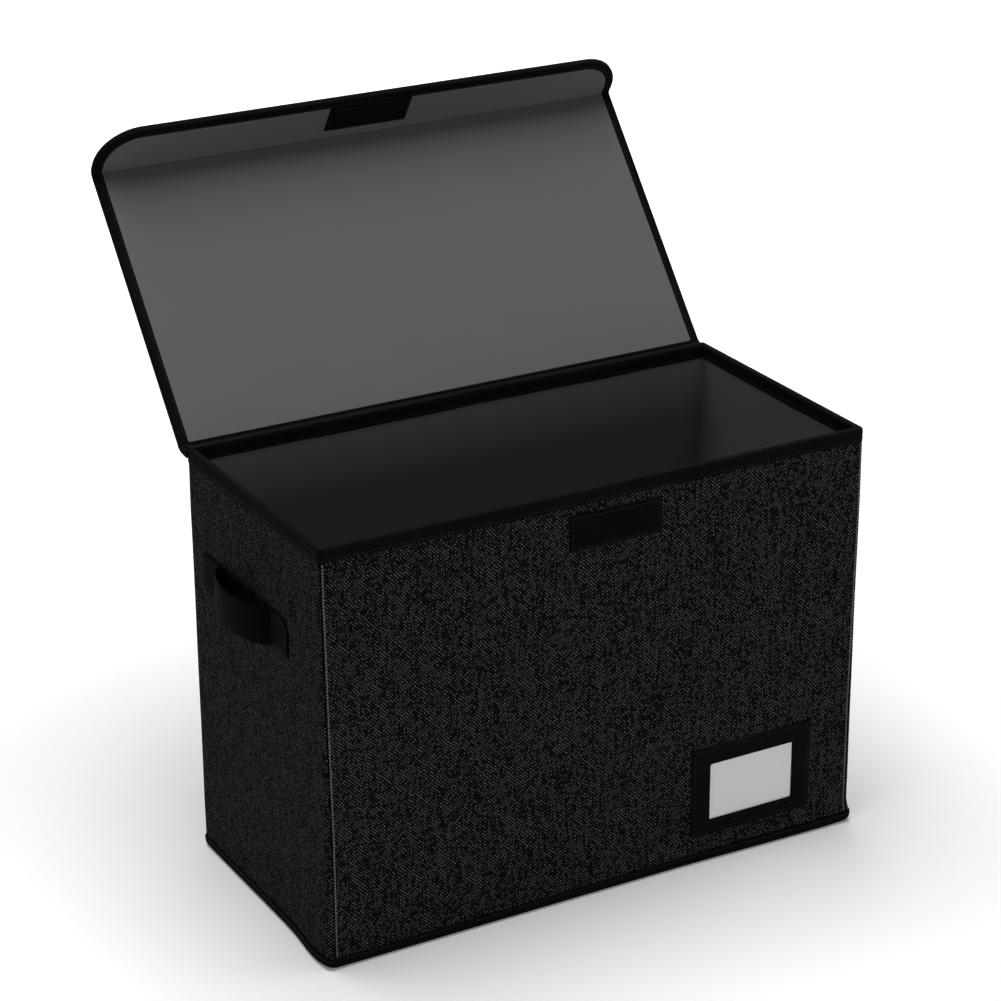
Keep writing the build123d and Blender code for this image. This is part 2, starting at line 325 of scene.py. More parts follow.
def woven(name, dark, light, unevenness, streaks, pitch=thread_pair, specular=0.3, depth=0.12):
    """The plain weave between a dark and a light shade."""
    material, wires, shader, cloth_map = new_material(name)
    group = wires.add("ShaderNodeGroup", node_tree=weave)
    wires.tree.links.new(cloth_map, group.inputs["Cloth"])
    for key, value in (("Pitch", pitch), ("Unevenness", unevenness), ("Streaks", streaks)):
        group.inputs[key].default_value = value
    group.inputs["Dark"].default_value = dark
    group.inputs["Light"].default_value = light
    shader.inputs["Specular IOR Level"].default_value = specular
    color, roughness, height = (group.outputs[key] for key in ("Color", "Roughness", "Height"))
    finish_with(wires, shader, color, roughness, height, depth)
    return material


def felted(name, base, spread, scale, depth, roughness=0.9, specular=0.2, stretch=(1.0, 1.0, 1.0)):
    """A finish of short fibres: a fine grain on a slow mottle."""
    material, wires, shader, cloth_map = new_material(name)
    place = wires.add("ShaderNodeVectorMath", {0: cloth_map, 1: stretch}, operation="MULTIPLY").outputs[0]
    grain = wires.noise(place, scale, 3.0, 0.65)
    mottle = wires.noise(place, scale / 40, 3.0, 0.6)
    share = wires.math("ADD", wires.math("MULTIPLY", grain, 0.6), wires.math("MULTIPLY", mottle, 0.4))
    low, high = (tuple(c * (1 + sign * spread) for c in base[:3]) + (1.0,) for sign in (-1, 1))
    color = wires.mix(wires.span(share, 0.3, 0.7), low, high)
    shader.inputs["Specular IOR Level"].default_value = specular
    dull = wires.span(grain, 0.3, 0.7, roughness - 0.08, roughness + 0.06)
    finish_with(wires, shader, color, dull, grain, depth)
    return material


cover_cloth = woven("Cover cloth", grey(0.0008), grey(0.114), unevenness=1.6, streaks=0.85, specular=0.015)
lining_cloth = felted("Lining cloth", grey(0.108), spread=0.05, scale=900, depth=0.03, specular=0.06)
binding_tape = felted("Binding tape", grey(0.0034), spread=0.9, scale=1400, depth=0.05, specular=0.03,
                      stretch=(0.4, 1.6, 1.0))
strap_web = felted("Strap web", grey(0.0015), spread=0.5, scale=1100, depth=0.05, roughness=0.75,
                   specular=0.02, stretch=(0.5, 1.5, 1.0))
pile = felted("Hook and loop pile", grey(0.0036), 0.5, scale=2200, depth=0.15, roughness=0.95, specular=0.02)
holder_sheet = felted("Holder sheet", grey(0.0018), 0.4, scale=1800, depth=0.02, roughness=0.6, specular=0.03)
# Painted shade: a near-black cloth for the strips and cords that stand for shadows under the straps, along
# their patches and beside the corner seams.
painted_shade_cloth = felted("Painted shade cloth", grey(0.0008), 0.3, scale=1500, depth=0.02, specular=0.02)
wall_board = felted("Wall board", (0.32, 0.28, 0.22, 1.0), spread=0.1, scale=1200, depth=0.05)
card_paper = felted("Card paper", grey(0.78), spread=0.03, scale=1500, depth=0.01, roughness=0.8)
# The corner thread's pale grey is partly painted highlight for the light caught on the corners' fold.
pale_thread_and_highlight = felted("Pale thread and painted highlight", grey(0.13), spread=0.3, scale=3000, depth=0.05, specular=0.1)
dark_thread = felted("Dark thread", grey(0.0065), 0.4, scale=3000, depth=0.05, roughness=0.6, specular=0.1)

clear_pane, wires, shader, cloth_map = new_material("Clear pane")
shader.inputs["Base Color"].default_value = grey(0.9)
shader.inputs["Alpha"].default_value = 0.06
haze = wires.noise(wires.add("ShaderNodeTexCoord").outputs["Object"], 60.0, 3.0)
wires.tree.links.new(wires.span(haze, 0.3, 0.7, 0.08, 0.2), shader.inputs["Roughness"])

# %% [markdown]
# The walls. Seen from above, the outer faces make a rectangle with rounded corners. A point is
# given by its length along that line, starting at the back of the left end, and by how far it
# lies outside it. The cover, lining and rim tape all use this one line, so they meet exactly.

# %% The line round the walls
corner_radius = 3.0
tightest = 0.5  # no turn is sharper than this, inside the walls too
quarter = corner_radius * np.pi / 2
straight_x, straight_y = half_length - corner_radius, half_depth - corner_radius
half_round = [2 * straight_y, quarter, 2 * straight_x, quarter]
marks = np.cumsum([0] + half_round + half_round)
round_the_box = marks[-1]
left_crease, right_crease = straight_y, marks[4] + straight_y


def around(s, d, radius=corner_radius):
    """Position in plan at length s along the walls and d outside them.

    A corner's centre lies the radius in from both faces. The point is the centre, or the place
    between two centres, plus the radius along the direction that the wall faces there.
    """
    s = np.mod(s, round_the_box)
    facing = np.radians(np.interp(s, marks, [180, 180, 270, 270, 360, 360, 450, 450, 540]))
    side_x = np.interp(s, marks, [-1, -1, -1, 1, 1, 1, 1, -1, -1])
    side_y = np.interp(s, marks, [1, -1, -1, -1, -1, 1, 1, 1, 1])
    bend = np.maximum(radius + d, tightest)
    x = side_x * (half_length + d - bend) + bend * np.cos(facing)
    y = side_y * (half_depth + d - bend) + bend * np.sin(facing)
    return np.stack(np.broadcast_arrays(x, y), -1)


def stations(start, stop, step=5.0):
    """Lengths from start to stop, closer together round the corners and at the creases."""
    even = np.linspace(start, stop, int((stop - start) / step) + 2)
    turns = [np.linspace(marks[i], marks[i + 1], 9) for i in (1, 3, 5, 7)]
    turns += [turns[3] - round_the_box]
    close = np.concatenate(turns)
    close = close[(close > start) & (close < stop)]
    return np.unique(np.concatenate([even, close]).round(3))


# %% [markdown]
# The cover is glued to its boards, but it is cloth: it stands off a little in slow waves and it
# dips at the creases of the end walls. The stretches below say which walls each length of cloth
# crosses; a length that lies on one wall only moves with it.

# %% Stretches of cloth round the box
overlap = 12.0  # how far a corner's cloth goes on round it
fold_half = 6.0  # half the width of the cloth over a crease
past_corner, open_gap = 1.7, 0.2  # where the cloth is parted at the right front corner
turn_near, turn_far = 2, 12  # two distances from the wall's face, for the points of rear_turn and front_turn
turn_middle = 5
rear_turn = ((0, half_depth - turn_near, 0), (0, half_depth - turn_far, 0))
front_turn = ((0, turn_far - half_depth, 0), (0, turn_near - half_depth, 0))
middle_turn = ((0, turn_middle, 0), (0, -turn_middle, 0))
left_fold = (left_crease - fold_half, left_crease + fold_half)
right_fold = (right_crease - fold_half, right_crease + fold_half)
STRETCHES = {
    "left_rear": (-quarter - overlap, left_fold[0], ("back", "left_rear"), rear_turn),
    "left_crease": (*left_fold, ("left_rear", "left_front"), middle_turn),
    "left_front": (left_fold[1], marks[2] + overlap, ("left_front", "front"), front_turn),
    "front": (marks[2] + overlap, marks[4] + past_corner, ("front",), None),
    "right_front": (marks[4] + past_corner + open_gap, right_fold[0], ("right_front",), None),
    "right_crease": (*right_fold, ("right_rear", "right_front"), middle_turn),
    "right_rear": (right_fold[1], marks[6] + overlap, ("back", "right_rear"), rear_turn),
    "back": (marks[6] + overlap, marks[7] - overlap, ("back",), None),
}


def settle(piece, bodies, turn, slot, *nodes):
    """Puts a piece on the one body it moves with, or leaves it in place when it lies on two, and hides the
    solids it stands for. slot, its finish, is not used.
    """
    if len(bodies) == 2:
        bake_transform(piece)
    else:
        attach(piece, bodies[0])
    if nodes:
        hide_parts(*nodes)
    return piece


def fade(x, start, stop):
    """A smooth step from 0 to 1."""
    t = np.clip((x - start) / (stop - start), 0, 1)
    return t * t * (3 - 2 * t)


cover_wave = 0.14
crease_dip, dip_width = 0.45, 2.0
foot_flare = 3.0


def ripple(s, z):
    """How far the cloth stands off its board: three slow waves, none at the foot and the rim.

    The cloth dips at the creases. It flares just over the foot tape and stays flat behind it, so
    that it slides free of the tape when the walls fold.
    """
    waves = (np.sin(s / 41 + z / 67) + np.sin(s / 23 - z / 31 + 2) + np.sin(z / 17 + s / 90)) / 3
    hold = fade(z, wall_low, wall_low + 30) * (1 - fade(z, wall_top - 45, wall_top - 12))
    dips = sum(np.exp(-((s - c) / dip_width) ** 2) for c in (left_crease, right_crease))
    push = flare(np.mod(s, round_the_box), z) * fade(z, foot_top + 0.1, foot_top + 0.8)
    return cover_wave * (1 + waves) * hold - crease_dip * dips + push


def flare(s, z):
    """How far the foot of the walls is pushed out near the two front corners, by use.

    A bump along the left end just before its front corner, and one along the front just before
    its right corner. Both die away with the height.
    """
    left = foot_flare * np.exp(-((s - marks[1] + 14) / 26) ** 2) * (1 - fade(s, marks[1] - 6, marks[2] + 4))
    right = foot_flare * fade(s, marks[3] - 150, marks[3] - 10) * (1 - fade(s, marks[3], marks[4] + 4))
    return left * (1 - fade(z, 6, 120)) ** 1.5 + right * (1 - fade(z, 4, 19))


foot_top = node_box("foot_binding")[1][2]
heights = np.unique(np.concatenate([
    np.linspace(wall_low, wall_low + 12, 6), [foot_top + 0.1, foot_top + 0.45, foot_top + 0.8],
    np.linspace(wall_low + 18, wall_top, 44),
]).round(3))


def wall_sheet(s, outer, inner, wave):
    """Rings of a sheet from one distance off the wall line to another, from the foot to the rim."""
    s, z = s[:, None], np.concatenate([heights, heights[::-1]])[None, :]
    n = len(heights)
    d = np.where(np.arange(2 * n) < n, outer, inner)[None, :] + 0 * s
    d = d + np.where(np.arange(2 * n) < n, 1, 0) * wave(s, z)
    rings = np.concatenate([around(s, d), (z + 0 * s)[..., None]], -1)
    return rings, np.stack(np.broadcast_arrays(s, z), -1)


# %% The covers of the walls
cover_thick = half_depth + node_box("front_board")[0][1]
for name, (start, stop, bodies, turn) in STRETCHES.items():
    rings, cloth_map = wall_sheet(stations(start, stop), 0.0, -cover_thick, ripple)
    piece = make_shell(f"cover_{name}", rings, cloth_map, cover_cloth)
    node = [f"{name}_cover"] if "crease" not in name else []
    settle(piece, bodies, turn, "cover_cloth", *node)
print("cover cloth", round(cover_thick, 2), "mm thick, round", round(round_the_box), "mm")

# %% [markdown]
# The lining covers the inner faces in the same stretches. It is smooth felt, a shade lighter
# than the tape, and is glued down flat, so it has hardly any waves.

# %% The linings of the walls
lining_thick = cover_thick
lining_rise = 0.06


def lining_wave(s, z):
    """The lining stands off by less than the cover does, and never at its edges."""
    hold = fade(z, wall_low, wall_low + 30) * (1 - fade(z, wall_top - 40, wall_top - 12))
    return -lining_rise * (1 + np.sin(s / 37 + z / 51)) * hold


for name, (start, stop, bodies, turn) in STRETCHES.items():
    rings, cloth_map = wall_sheet(stations(start, stop), -wall, lining_thick - wall, lining_wave)
    piece = make_shell(f"lining_{name}", rings, cloth_map, lining_cloth)
    node = [f"{name}_lining"] if "crease" not in name else []
    settle(piece, bodies, turn, "lining_cloth", *node)

# %% [markdown]
# A tape is folded over the rim and sewn through. Its profile is a long U upside down: up the
# outside, round the top edge and down the inside. Carried along the line of the walls, it makes
# one band round the whole rim.

# %% The rim tape
def tape_profile(half_thick, reach, bend, rise, count=7):
    """One side of a folded tape as (across, along) points, from its edge up and over and down.

    Two straight legs run to the start of two quarter circles of the given bend, whose far
    sides are joined flat.
    """
    leg = np.linspace(-reach, -bend, 5)
    angle = np.linspace(0, np.pi / 2, count)
    across = np.concatenate([np.full(5, half_thick), half_thick - bend + bend * np.cos(angle[1:])])
    along = np.concatenate([leg, bend * (np.sin(angle[1:]) - 1)]) + rise
    return np.concatenate([np.stack([across, along], -1), np.stack([-across, along], -1)[::-1]])


def tape_loop(half_thick, reach, thickness, bend, edge_drop=0.12):
    """The closed loop of a folded tape: its outer side, then its inner side back again.

    At its two long edges the outer side draws in a little, as a pressed edge does.
    """
    outer = tape_profile(half_thick, reach, bend, 0.0)
    inner = tape_profile(half_thick - thickness, reach, bend - thickness, -thickness)
    inner[:, 1] = np.where(np.abs(outer[:, 1] + reach) < 1e-6, -reach, inner[:, 1])
    for row in (0, -1):
        outer[row, 0] -= np.sign(outer[row, 0]) * edge_drop
    return np.concatenate([outer, inner[::-1]])


tape_bend = 1.7  # radius of the tape's two edges along its fold
rim_loop = tape_loop(wall / 2 + binding, band + binding, binding, tape_bend)


def loop_length(loop):
    """Length along a profile from its first point, for the map."""
    return np.concatenate([[0], np.cumsum(np.linalg.norm(np.diff(loop, axis=0), axis=1))])


for name, (start, stop, bodies, turn) in STRETCHES.items():
    s = stations(start, stop)[:, None]
    waver = 0.22 * np.sin(s / 29) + 0.15 * np.sin(s / 11 + 1)
    low_edge = fade(-rim_loop[None, :, 1], band - 3, band)
    d = rim_loop[None, :, 0] - wall / 2 + 0 * s
    z = rim_high[2] + rim_loop[None, :, 1] + waver * low_edge
    rings = np.concatenate([around(s, d), z[..., None]], -1)
    half_loop = loop_length(rim_loop[: len(rim_loop) // 2])
    v = np.concatenate([half_loop, half_loop[::-1]])[None, :] + 0 * s
    piece = make_shell(f"rim_tape_{name}", rings, np.stack(np.broadcast_arrays(s, v), -1), binding_tape)
    node = [f"{name}_rim_binding"] if "crease" not in name else []
    settle(piece, bodies, turn, "binding_tape", *node)
print("rim tape in", len(STRETCHES), "lengths,", round(band, 1), "mm deep")

# %% [markdown]
# The foot of the walls is bound in the same way, and this tape wears round where the box stands
# and is dragged: the lower edge is rounded, and the four lower corners most of all. It stays
# on the table when the walls fold.

# %% The foot tape
foot_high = node_box("foot_binding")[1]
foot_out = foot_high[0] - half_length
foot_gap = foot_out - binding
lip = wall + binding
foot_bend = 3.4  # radius of the lower edge
worn_radius, worn_lift = 3, 0.4  # the lower corners: rounder by this, and lifted by this
under_wall = wall_low - 0.35
floor_lift = 0.02
count = 9
angle = np.linspace(0, np.pi / 2, count)
outer_side = np.concatenate([
    np.stack([np.full(4, foot_out), np.linspace(foot_high[2], foot_bend, 4)], -1),
    np.stack([foot_out - foot_bend * (1 - np.cos(angle[1:])), foot_bend * (1 - np.sin(angle[1:]))], -1),
    np.stack([np.linspace(foot_out - foot_bend - 0.6, -lip, 4), np.zeros(4)], -1),
])
inner_side = np.stack([
    np.concatenate([np.full(4, foot_gap), np.linspace(foot_gap, -lip, count + 3)]),
    np.concatenate([np.linspace(foot_high[2], under_wall, 4), np.full(count + 3, under_wall)]),
], -1)
outer_side[0, 0] -= 0.12
loop = np.concatenate([outer_side, inner_side[::-1]])
s = stations(0, round_the_box - 0.5, 6.0)[:, None]
d, z = loop[None, :, 0] + 0 * s, loop[None, :, 1] + 0 * s
corner_mids = (marks[[1, 3, 5, 7]] + marks[[2, 4, 6, 8]]) / 2
near = sum(np.exp(-((s - c) / 9) ** 2) for c in [*corner_mids, corner_mids[3] - round_the_box])
worn = fade(-z, -wall_low, 0) * (d > foot_gap - 6)
d = d + flare(s, foot_high[2]) * (d > -1)
plan = around(s, d, corner_radius + worn_radius * worn)
z = z + floor_lift + near * worn * worn_lift * fade(d, -lip, foot_out)
rings = np.concatenate([plan, z[..., None]], -1)
v = loop_length(outer_side)
cloth_map = np.stack(np.broadcast_arrays(s, np.concatenate([v, v[::-1]])[None, :]), -1)
foot_tape = make_shell("foot_tape", rings, cloth_map, binding_tape, closed=True)
settle(foot_tape, ("back",), None, "binding_tape", "foot_binding")
print("foot tape", round(foot_high[2], 1), "mm high, out by", round(foot_out, 2), "mm")

# %% [markdown]
# The bottom cloth closes the space between the walls. It is one layer, sewn in under the foot
# tape, and it lies on the table with a few shallow puckers towards its edges.

# %% The bottom cloth
def flat_sheet(low, high, z_low, z_high, pucker, columns=60, rows=34):
    """Rings of a level sheet: its upper side across, then its lower side back."""
    x = np.linspace(low[0], high[0], columns)[:, None]
    y = np.linspace(low[1], high[1], rows)
    y = np.concatenate([y, y[::-1]])[None, :]
    upper = (np.arange(2 * rows) < rows)[None, :]
    edge = np.minimum(np.minimum(x - low[0], high[0] - x), np.minimum(y - low[1], high[1] - y))
    z = np.where(upper, z_high, z_low) + upper * pucker(x, y) * fade(edge, 0, 10)
    x, y, z = np.broadcast_arrays(x, y, z)
    return np.stack([x, y, z], -1), np.stack([x, y], -1)


def bottom_pucker(x, y):
    """Shallow crossed waves."""
    return 0.06 * (1 + np.sin(x / 19) * np.sin(y / 13))


bottom_low, bottom_high = node_box("bottom_cloth")
bottom_level = bottom_high[2] - 0.15
rings, cloth_map = flat_sheet(bottom_low, bottom_high, floor_lift, bottom_level, bottom_pucker)
bottom = make_shell("bottom_sheet", rings, cloth_map, cover_cloth)
settle(bottom, ("back",), None, "cover_cloth", "bottom_cloth")
print("bottom cloth", (bottom_high - bottom_low)[:2].round(), "mm")

# %% [markdown]
# The base board is loose, so that it can be lifted out before the box is folded. Its sleeve is a
# flattened tube of lining cloth with rounded long edges, open at the two short ends, where the
# board shows.

# %% The base board's sleeve
sleeve_low, sleeve_high = node_box("base_board_sleeve")
sleeve_thick = sleeve_high[2] - node_box("base_board_core")[1][2]
sleeve_bend, sleeve_bend_inside = 1.45, 0.9
sleeve_columns = 60


def flat_tube(low, high, bend, count=6):
    """Outline of a flattened tube in depth and height: four quarter circles joined straight."""
    angle = np.radians(np.concatenate([np.linspace(90 * q, 90 * q + 90, count) for q in range(4)]))
    centre_y = np.repeat([high[0] - bend, low[0] + bend, low[0] + bend, high[0] - bend], count)
    centre_z = np.repeat([high[1] - bend, high[1] - bend, low[1] + bend, low[1] + bend], count)
    return np.stack([centre_y + bend * np.cos(angle), centre_z + bend * np.sin(angle)], -1)


tube_out = flat_tube(sleeve_low[1:], sleeve_high[1:], sleeve_bend)
tube_in = flat_tube(sleeve_low[1:] + sleeve_thick, sleeve_high[1:] - sleeve_thick, sleeve_bend_inside)
x = np.linspace(sleeve_low[0], sleeve_high[0], sleeve_columns)
many = len(tube_out)
tube_x = np.concatenate([x, x[::-1]])
tube = np.concatenate([np.repeat(part[None], sleeve_columns, 0) for part in (tube_out, tube_in)])
rings = np.concatenate([np.repeat(tube_x[:, None, None], many, 1), tube], -1)
v = loop_length(tube_out)
cloth_map = np.stack(np.broadcast_arrays(tube_x[:, None], v[None, :]), -1)
sleeve = make_shell("base_sleeve", rings, cloth_map, lining_cloth, closed=True)
settle(sleeve, ("base_board",), None, "lining_cloth", "base_board_sleeve")

# %% [markdown]
# The lid and the flap are two boards in one length of cloth and one lining, with a soft fold
# between them. A point on them is given by its reach from the hinge and its level above the
# inner surface, as if they were flat. The fold then rolls that strip round a small circle, so
# the tape, the lining and the cover all bend as one.

# %% A strip that folds once
def turned(direction, angle):
    """A direction in depth and height, turned by an angle."""
    c, s = np.cos(angle), np.sin(angle)
    return np.stack([direction[0] * c - direction[1] * s, direction[0] * s + direction[1] * c], -1)


def folded(t, level, corner, corner_at, along, bend, radius):
    """Depth and height of a point of a strip that runs along a direction and folds at a corner.

    t is the length along the strip, with the sharp corner at corner_at, and level is the
    distance to the right of it. Up to the fold the point lies on the first straight line. In
    the fold it goes round a circle of the given radius, and after it on the second line.
    """
    side = np.sign(bend)
    cut = radius * np.tan(abs(bend) / 2)
    roll = radius * abs(bend)
    start = corner_at - cut
    right = turned(along, -np.pi / 2)
    centre = corner - cut * along - side * radius * right
    angle = side * np.clip((t - start) / radius, 0, abs(bend))
    out = turned(right, angle)
    before = np.minimum(t - start, 0)[..., None] * along
    after = np.maximum(t - start - roll, 0)[..., None] * turned(along, bend)
    return centre + (side * radius + level)[..., None] * out + before + after


lid_along = np.array([-np.cos(lid_open), np.sin(lid_open)])
lid_right = turned(lid_along, -np.pi / 2)
lid_reach = (crease - hinge) @ lid_along
fold_radius = 1.6
fold_cut = fold_radius * np.tan(flap_bend / 2)
fold_roll = fold_radius * flap_bend
half_lid = node_box("flap_binding")[1][0] - binding
lid_thick = wall + 2 * binding


def on_lid(x, t, level):
    """A point of the lid or the flap, level above its inner surface."""
    x, t, level = np.broadcast_arrays(x, t, level)
    place = folded(t, level, crease, lid_reach, lid_along, flap_bend, fold_radius)
    return np.concatenate([x[..., None], place], -1)


flap_along = turned(lid_along, flap_bend)
flap_height = reach_of("flap_board", crease, flap_along)[1]
hook_from, hook_to = reach_of("hook_strip", crease, flap_along)
edge_band = flap_height - hook_to  # the hook strip ends where the edge tape begins
lid_first = reach_of("lid_board", hinge, lid_along)[0]
lid_level = (crease - hinge) @ lid_right  # from the hinge axis to the lid's inner surface
flap_end = lid_reach - fold_cut + fold_roll + flap_height - fold_cut
print("lid from", round(lid_first, 1), "to", round(lid_reach, 1), "mm, flap", round(flap_height, 1), "mm")

# %% [markdown]
# The flap's two free corners are cut round. The edge tape follows the whole outline in one
# length: up one side of the lid, over the fold, round both corners of the flap and down again.

# %% The outline of the lid and the flap
flap_radius = 30.0
corner_from = flap_end - flap_radius
edge_legs = [0, corner_from - lid_first, flap_radius * np.pi / 2, 2 * (half_lid - flap_radius)]
edge_marks = np.cumsum(edge_legs + [edge_legs[2], edge_legs[1]])


def along_edge(length, inset):
    """Sideways place and reach at a length along the outline, inset from it."""
    facing = np.radians(np.interp(length, edge_marks, [180, 180, 90, 90, 0, 0]))
    centre_x = np.interp(length, edge_marks, [-1, -1, -1, 1, 1, 1]) * (half_lid - flap_radius)
    centre_t = np.interp(length, edge_marks, [lid_first] + [corner_from] * 4 + [lid_first])
    reach = flap_radius - inset
    return centre_x + reach * np.cos(facing), centre_t + reach * np.sin(facing)


def half_width(t):
    """Half the width of the lid or the flap at a reach: less where the corners are round."""
    into = np.clip(t - corner_from, 0, flap_radius)
    return half_lid - flap_radius + np.sqrt(flap_radius**2 - into**2)


fold_stations = np.linspace(lid_reach - fold_cut - 1, lid_reach - fold_cut + fold_roll + 1, 15)
reaches = np.unique(np.concatenate([
    np.linspace(lid_first, lid_reach - 3, 40), fold_stations, np.linspace(lid_reach + 3, corner_from, 4),
    flap_end - 1.5 - (flap_radius - 1.5) * (1 - np.sin(np.linspace(0, np.pi / 2, 18))),
]).round(3))


def lid_sheet(level_near, level_far, inset, wave, columns=56):
    """Rings of a sheet on the lid and the flap between two levels, its near side first."""
    t = reaches[:, None]
    x = np.linspace(-1, 1, columns)
    x = np.concatenate([x, x[::-1]])[None, :] * (half_width(t) - inset)
    near = (np.arange(2 * columns) < columns)[None, :]
    level = np.where(near, level_near + wave(x, t), level_far)
    run = loop_length(on_lid(0.0, reaches, level_near))  # the real way over the fold
    return on_lid(x, t, level), np.stack(np.broadcast_arrays(x, run[:, None]), -1)


# %% The lining and the cover of the lid
turn_reach = 7  # how far from the fold the two points of flap_turn lie
flap_turn = tuple(
    (0, *(crease + way * turn_reach * direction)) for way, direction in ((-1, lid_along), (1, flap_along))
)
fold_middle = lid_reach - fold_cut + fold_roll / 2
groove_deep, groove_wide = 0.55, 0.7
sheet_inset = 0.4  # the sheets end inside the edge tape
cloth_apart = np.array([0, 700.0])  # the lid is cut from another part of the cloth than the walls


def lid_lining_wave(x, t):
    """The lining lies nearly flat, with a narrow groove pressed in along the fold."""
    slow = np.sin(x / 63 + 1) * np.sin(t / 47) + np.sin(x / 31 + t / 40)
    groove = np.exp(-((t - fold_middle) / groove_wide) ** 2)
    return -0.05 * (1 + 0.5 * slow) + groove_deep * groove


rings, cloth_map = lid_sheet(binding, binding + lining_thick, sheet_inset, lid_lining_wave)
lid_lining = make_shell("lid_and_flap_lining", rings, cloth_map, lining_cloth)
settle(lid_lining, ("lid", "flap"), flap_turn, "lining_cloth", "lid_lining", "flap_lining")

cover_level = binding + wall


def lid_cover_wave(x, t):
    """The cover of the lid is waved as the walls' covers are."""
    return 0.1 * (1 + np.sin(x / 47 + t / 61) * np.sin(t / 29 - x / 83))


rings, cloth_map = lid_sheet(cover_level, cover_level - cover_thick, sheet_inset, lid_cover_wave)
lid_cover = make_shell("lid_and_flap_cover", rings, cloth_map + cloth_apart, cover_cloth)
settle(lid_cover, ("lid", "flap"), flap_turn, "cover_cloth", "lid_cover", "flap_cover", "flap_hinge_cloth")
print("lid and flap", round(2 * half_lid), "x", round(flap_end - lid_first), "mm laid flat")

# %% The edge tape of the lid and the flap
edge_loop = tape_loop(lid_thick / 2, edge_band + binding, binding, tape_bend)
side_reach = edge_marks[1]
lengths = np.unique(np.concatenate([
    np.linspace(0, side_reach, 44), fold_stations - lid_first,
    np.linspace(edge_marks[1], edge_marks[2], 30), np.linspace(edge_marks[2], edge_marks[3], 60),
    np.linspace(edge_marks[3], edge_marks[4], 30),
    edge_marks[5] - (fold_stations - lid_first), edge_marks[5] - np.linspace(0, side_reach, 44),
]).round(3))[:, None]
waver = 0.2 * np.sin(lengths / 33) + 0.12 * np.sin(lengths / 12)
waver = waver * fade(-edge_loop[None, :, 1], band - 3, band)
x, t = along_edge(lengths, -edge_loop[None, :, 1] - binding + waver)
level = lid_thick / 2 - edge_loop[None, :, 0] + 0 * lengths
rings = on_lid(x, t, level)
half_loop = loop_length(edge_loop[: len(edge_loop) // 2])
v = np.concatenate([half_loop, half_loop[::-1]])[None, :]
edge_tape = make_shell("lid_edge_tape", rings, np.stack(np.broadcast_arrays(lengths, v), -1), binding_tape)
settle(edge_tape, ("lid", "flap"), flap_turn, "binding_tape", "lid_binding", "flap_binding")
print("edge tape", round(edge_marks[5]), "mm long")

# %% [markdown]
# Two strips close the hinge. Outside, a strip of cloth joins the back wall to the lid. Inside, a
# tape runs from the rim up to the lid and covers the edge of the lining.

# %% The hinge strips
def soft_path(points, step=0.6, rounds=12):
    """Corner points in depth and height, as an even path whose corners are averaged away.

    Each round moves every point half way to the mean of its two neighbours.
    """
    points = np.array(points, float)
    length = loop_length(points)
    at = np.linspace(0, length[-1], int(length[-1] / step) + 2)
    path = np.stack([np.interp(at, length, points[:, i]) for i in (0, 1)], -1)
    for _ in range(rounds):
        path[1:-1] = (path[:-2] + 2 * path[1:-1] + path[2:]) / 4
    return path


def normals_of(path):
    """The direction to the right of a path at each of its points."""
    ahead = np.gradient(path, axis=0)
    ahead /= np.linalg.norm(ahead, axis=1, keepdims=True)
    return np.stack([ahead[:, 1], -ahead[:, 0]], -1)


def near_lid(t, level):
    """Depth and height at a reach from the hinge and a level above the lid's inner surface."""
    return hinge + t * lid_along + (lid_level + level) * lid_right


def hinge_strip(name, corners, half_long, thickness, material):
    """A strip that follows a path and runs along the whole hinge, thinner at its two edges."""
    path = soft_path(corners)
    side = normals_of(path)
    rise = np.minimum(1, 0.45 + np.arange(len(path)) / 3)
    off = (side * (rise * rise[::-1])[:, None]) * thickness / 2
    loop = np.concatenate([path + off, (path - off)[::-1]])
    v = loop_length(path)
    v = np.concatenate([v, v[::-1]])
    x = np.linspace(-half_long, half_long, 60)[:, None]
    x, y, z, v = np.broadcast_arrays(x, loop[None, :, 0], loop[None, :, 1], v[None, :])
    return make_shell(name, np.stack([x, y, z], -1), np.stack([x, v], -1), material)


outer_low, outer_high = node_box("lid_hinge_cloth")
hinge_thick = 0.7
hinge_half = outer_high[0]
outer_line = wall + binding + hinge_thick / 2 + 0.25
leaves_wall = node_box("back_rim_binding")[0][2] - 1.4
wall_line = half_depth + hinge_thick / 2 + 0.3
outer_strip = hinge_strip(
    "hinge_cloth_outside",
    [(wall_line, outer_low[2]), (wall_line, leaves_wall),
     near_lid(0.5, outer_line), near_lid(14.9, outer_line)],
    hinge_half, hinge_thick, binding_tape)
hinge_turn = ((0, wall_line + 1, leaves_wall), (0, *near_lid(2.5, outer_line)))
settle(outer_strip, ("back", "lid"), hinge_turn, "binding_tape", "lid_hinge_cloth")

inner_thick = 0.3
rim_level = rim_high[2] + inner_thick / 2 + 0.03
inner_corners = [
    (half_depth - wall, rim_level), (half_depth + 0.3, rim_level), near_lid(1.2, 1.0),
    near_lid(lid_first - 0.2, -inner_thick / 2 - 0.1), near_lid(lid_first + 1.0, -inner_thick / 2 - 0.05),
]
inner_strip = hinge_strip("hinge_tape_inside", inner_corners, half_lid - 1.5, inner_thick, binding_tape)
inner_turn = ((0, half_depth + binding, rim_level), (0, *near_lid(lid_first, 0)))
settle(inner_strip, ("back", "lid"), inner_turn, "binding_tape")
print("hinge strips", round(2 * hinge_half), "mm long")

# %% [markdown]
# At both ends of the hinge the lid's edge tape is turned down and sewn to the rim. Each turn is
# a small closed fold between two curves: one from the lid's inner side to the top of the rim,
# and one from its outer side round to the back of the wall.

# %% The ends of the hinge
def bent(start, corner, stop, count=9):
    """A curve from start to stop drawn towards a corner: the squares-and-products rule."""
    t = np.linspace(0, 1, count)[:, None]
    return (1 - t) ** 2 * np.array(start) + 2 * t * (1 - t) * np.array(corner) + t**2 * np.array(stop)


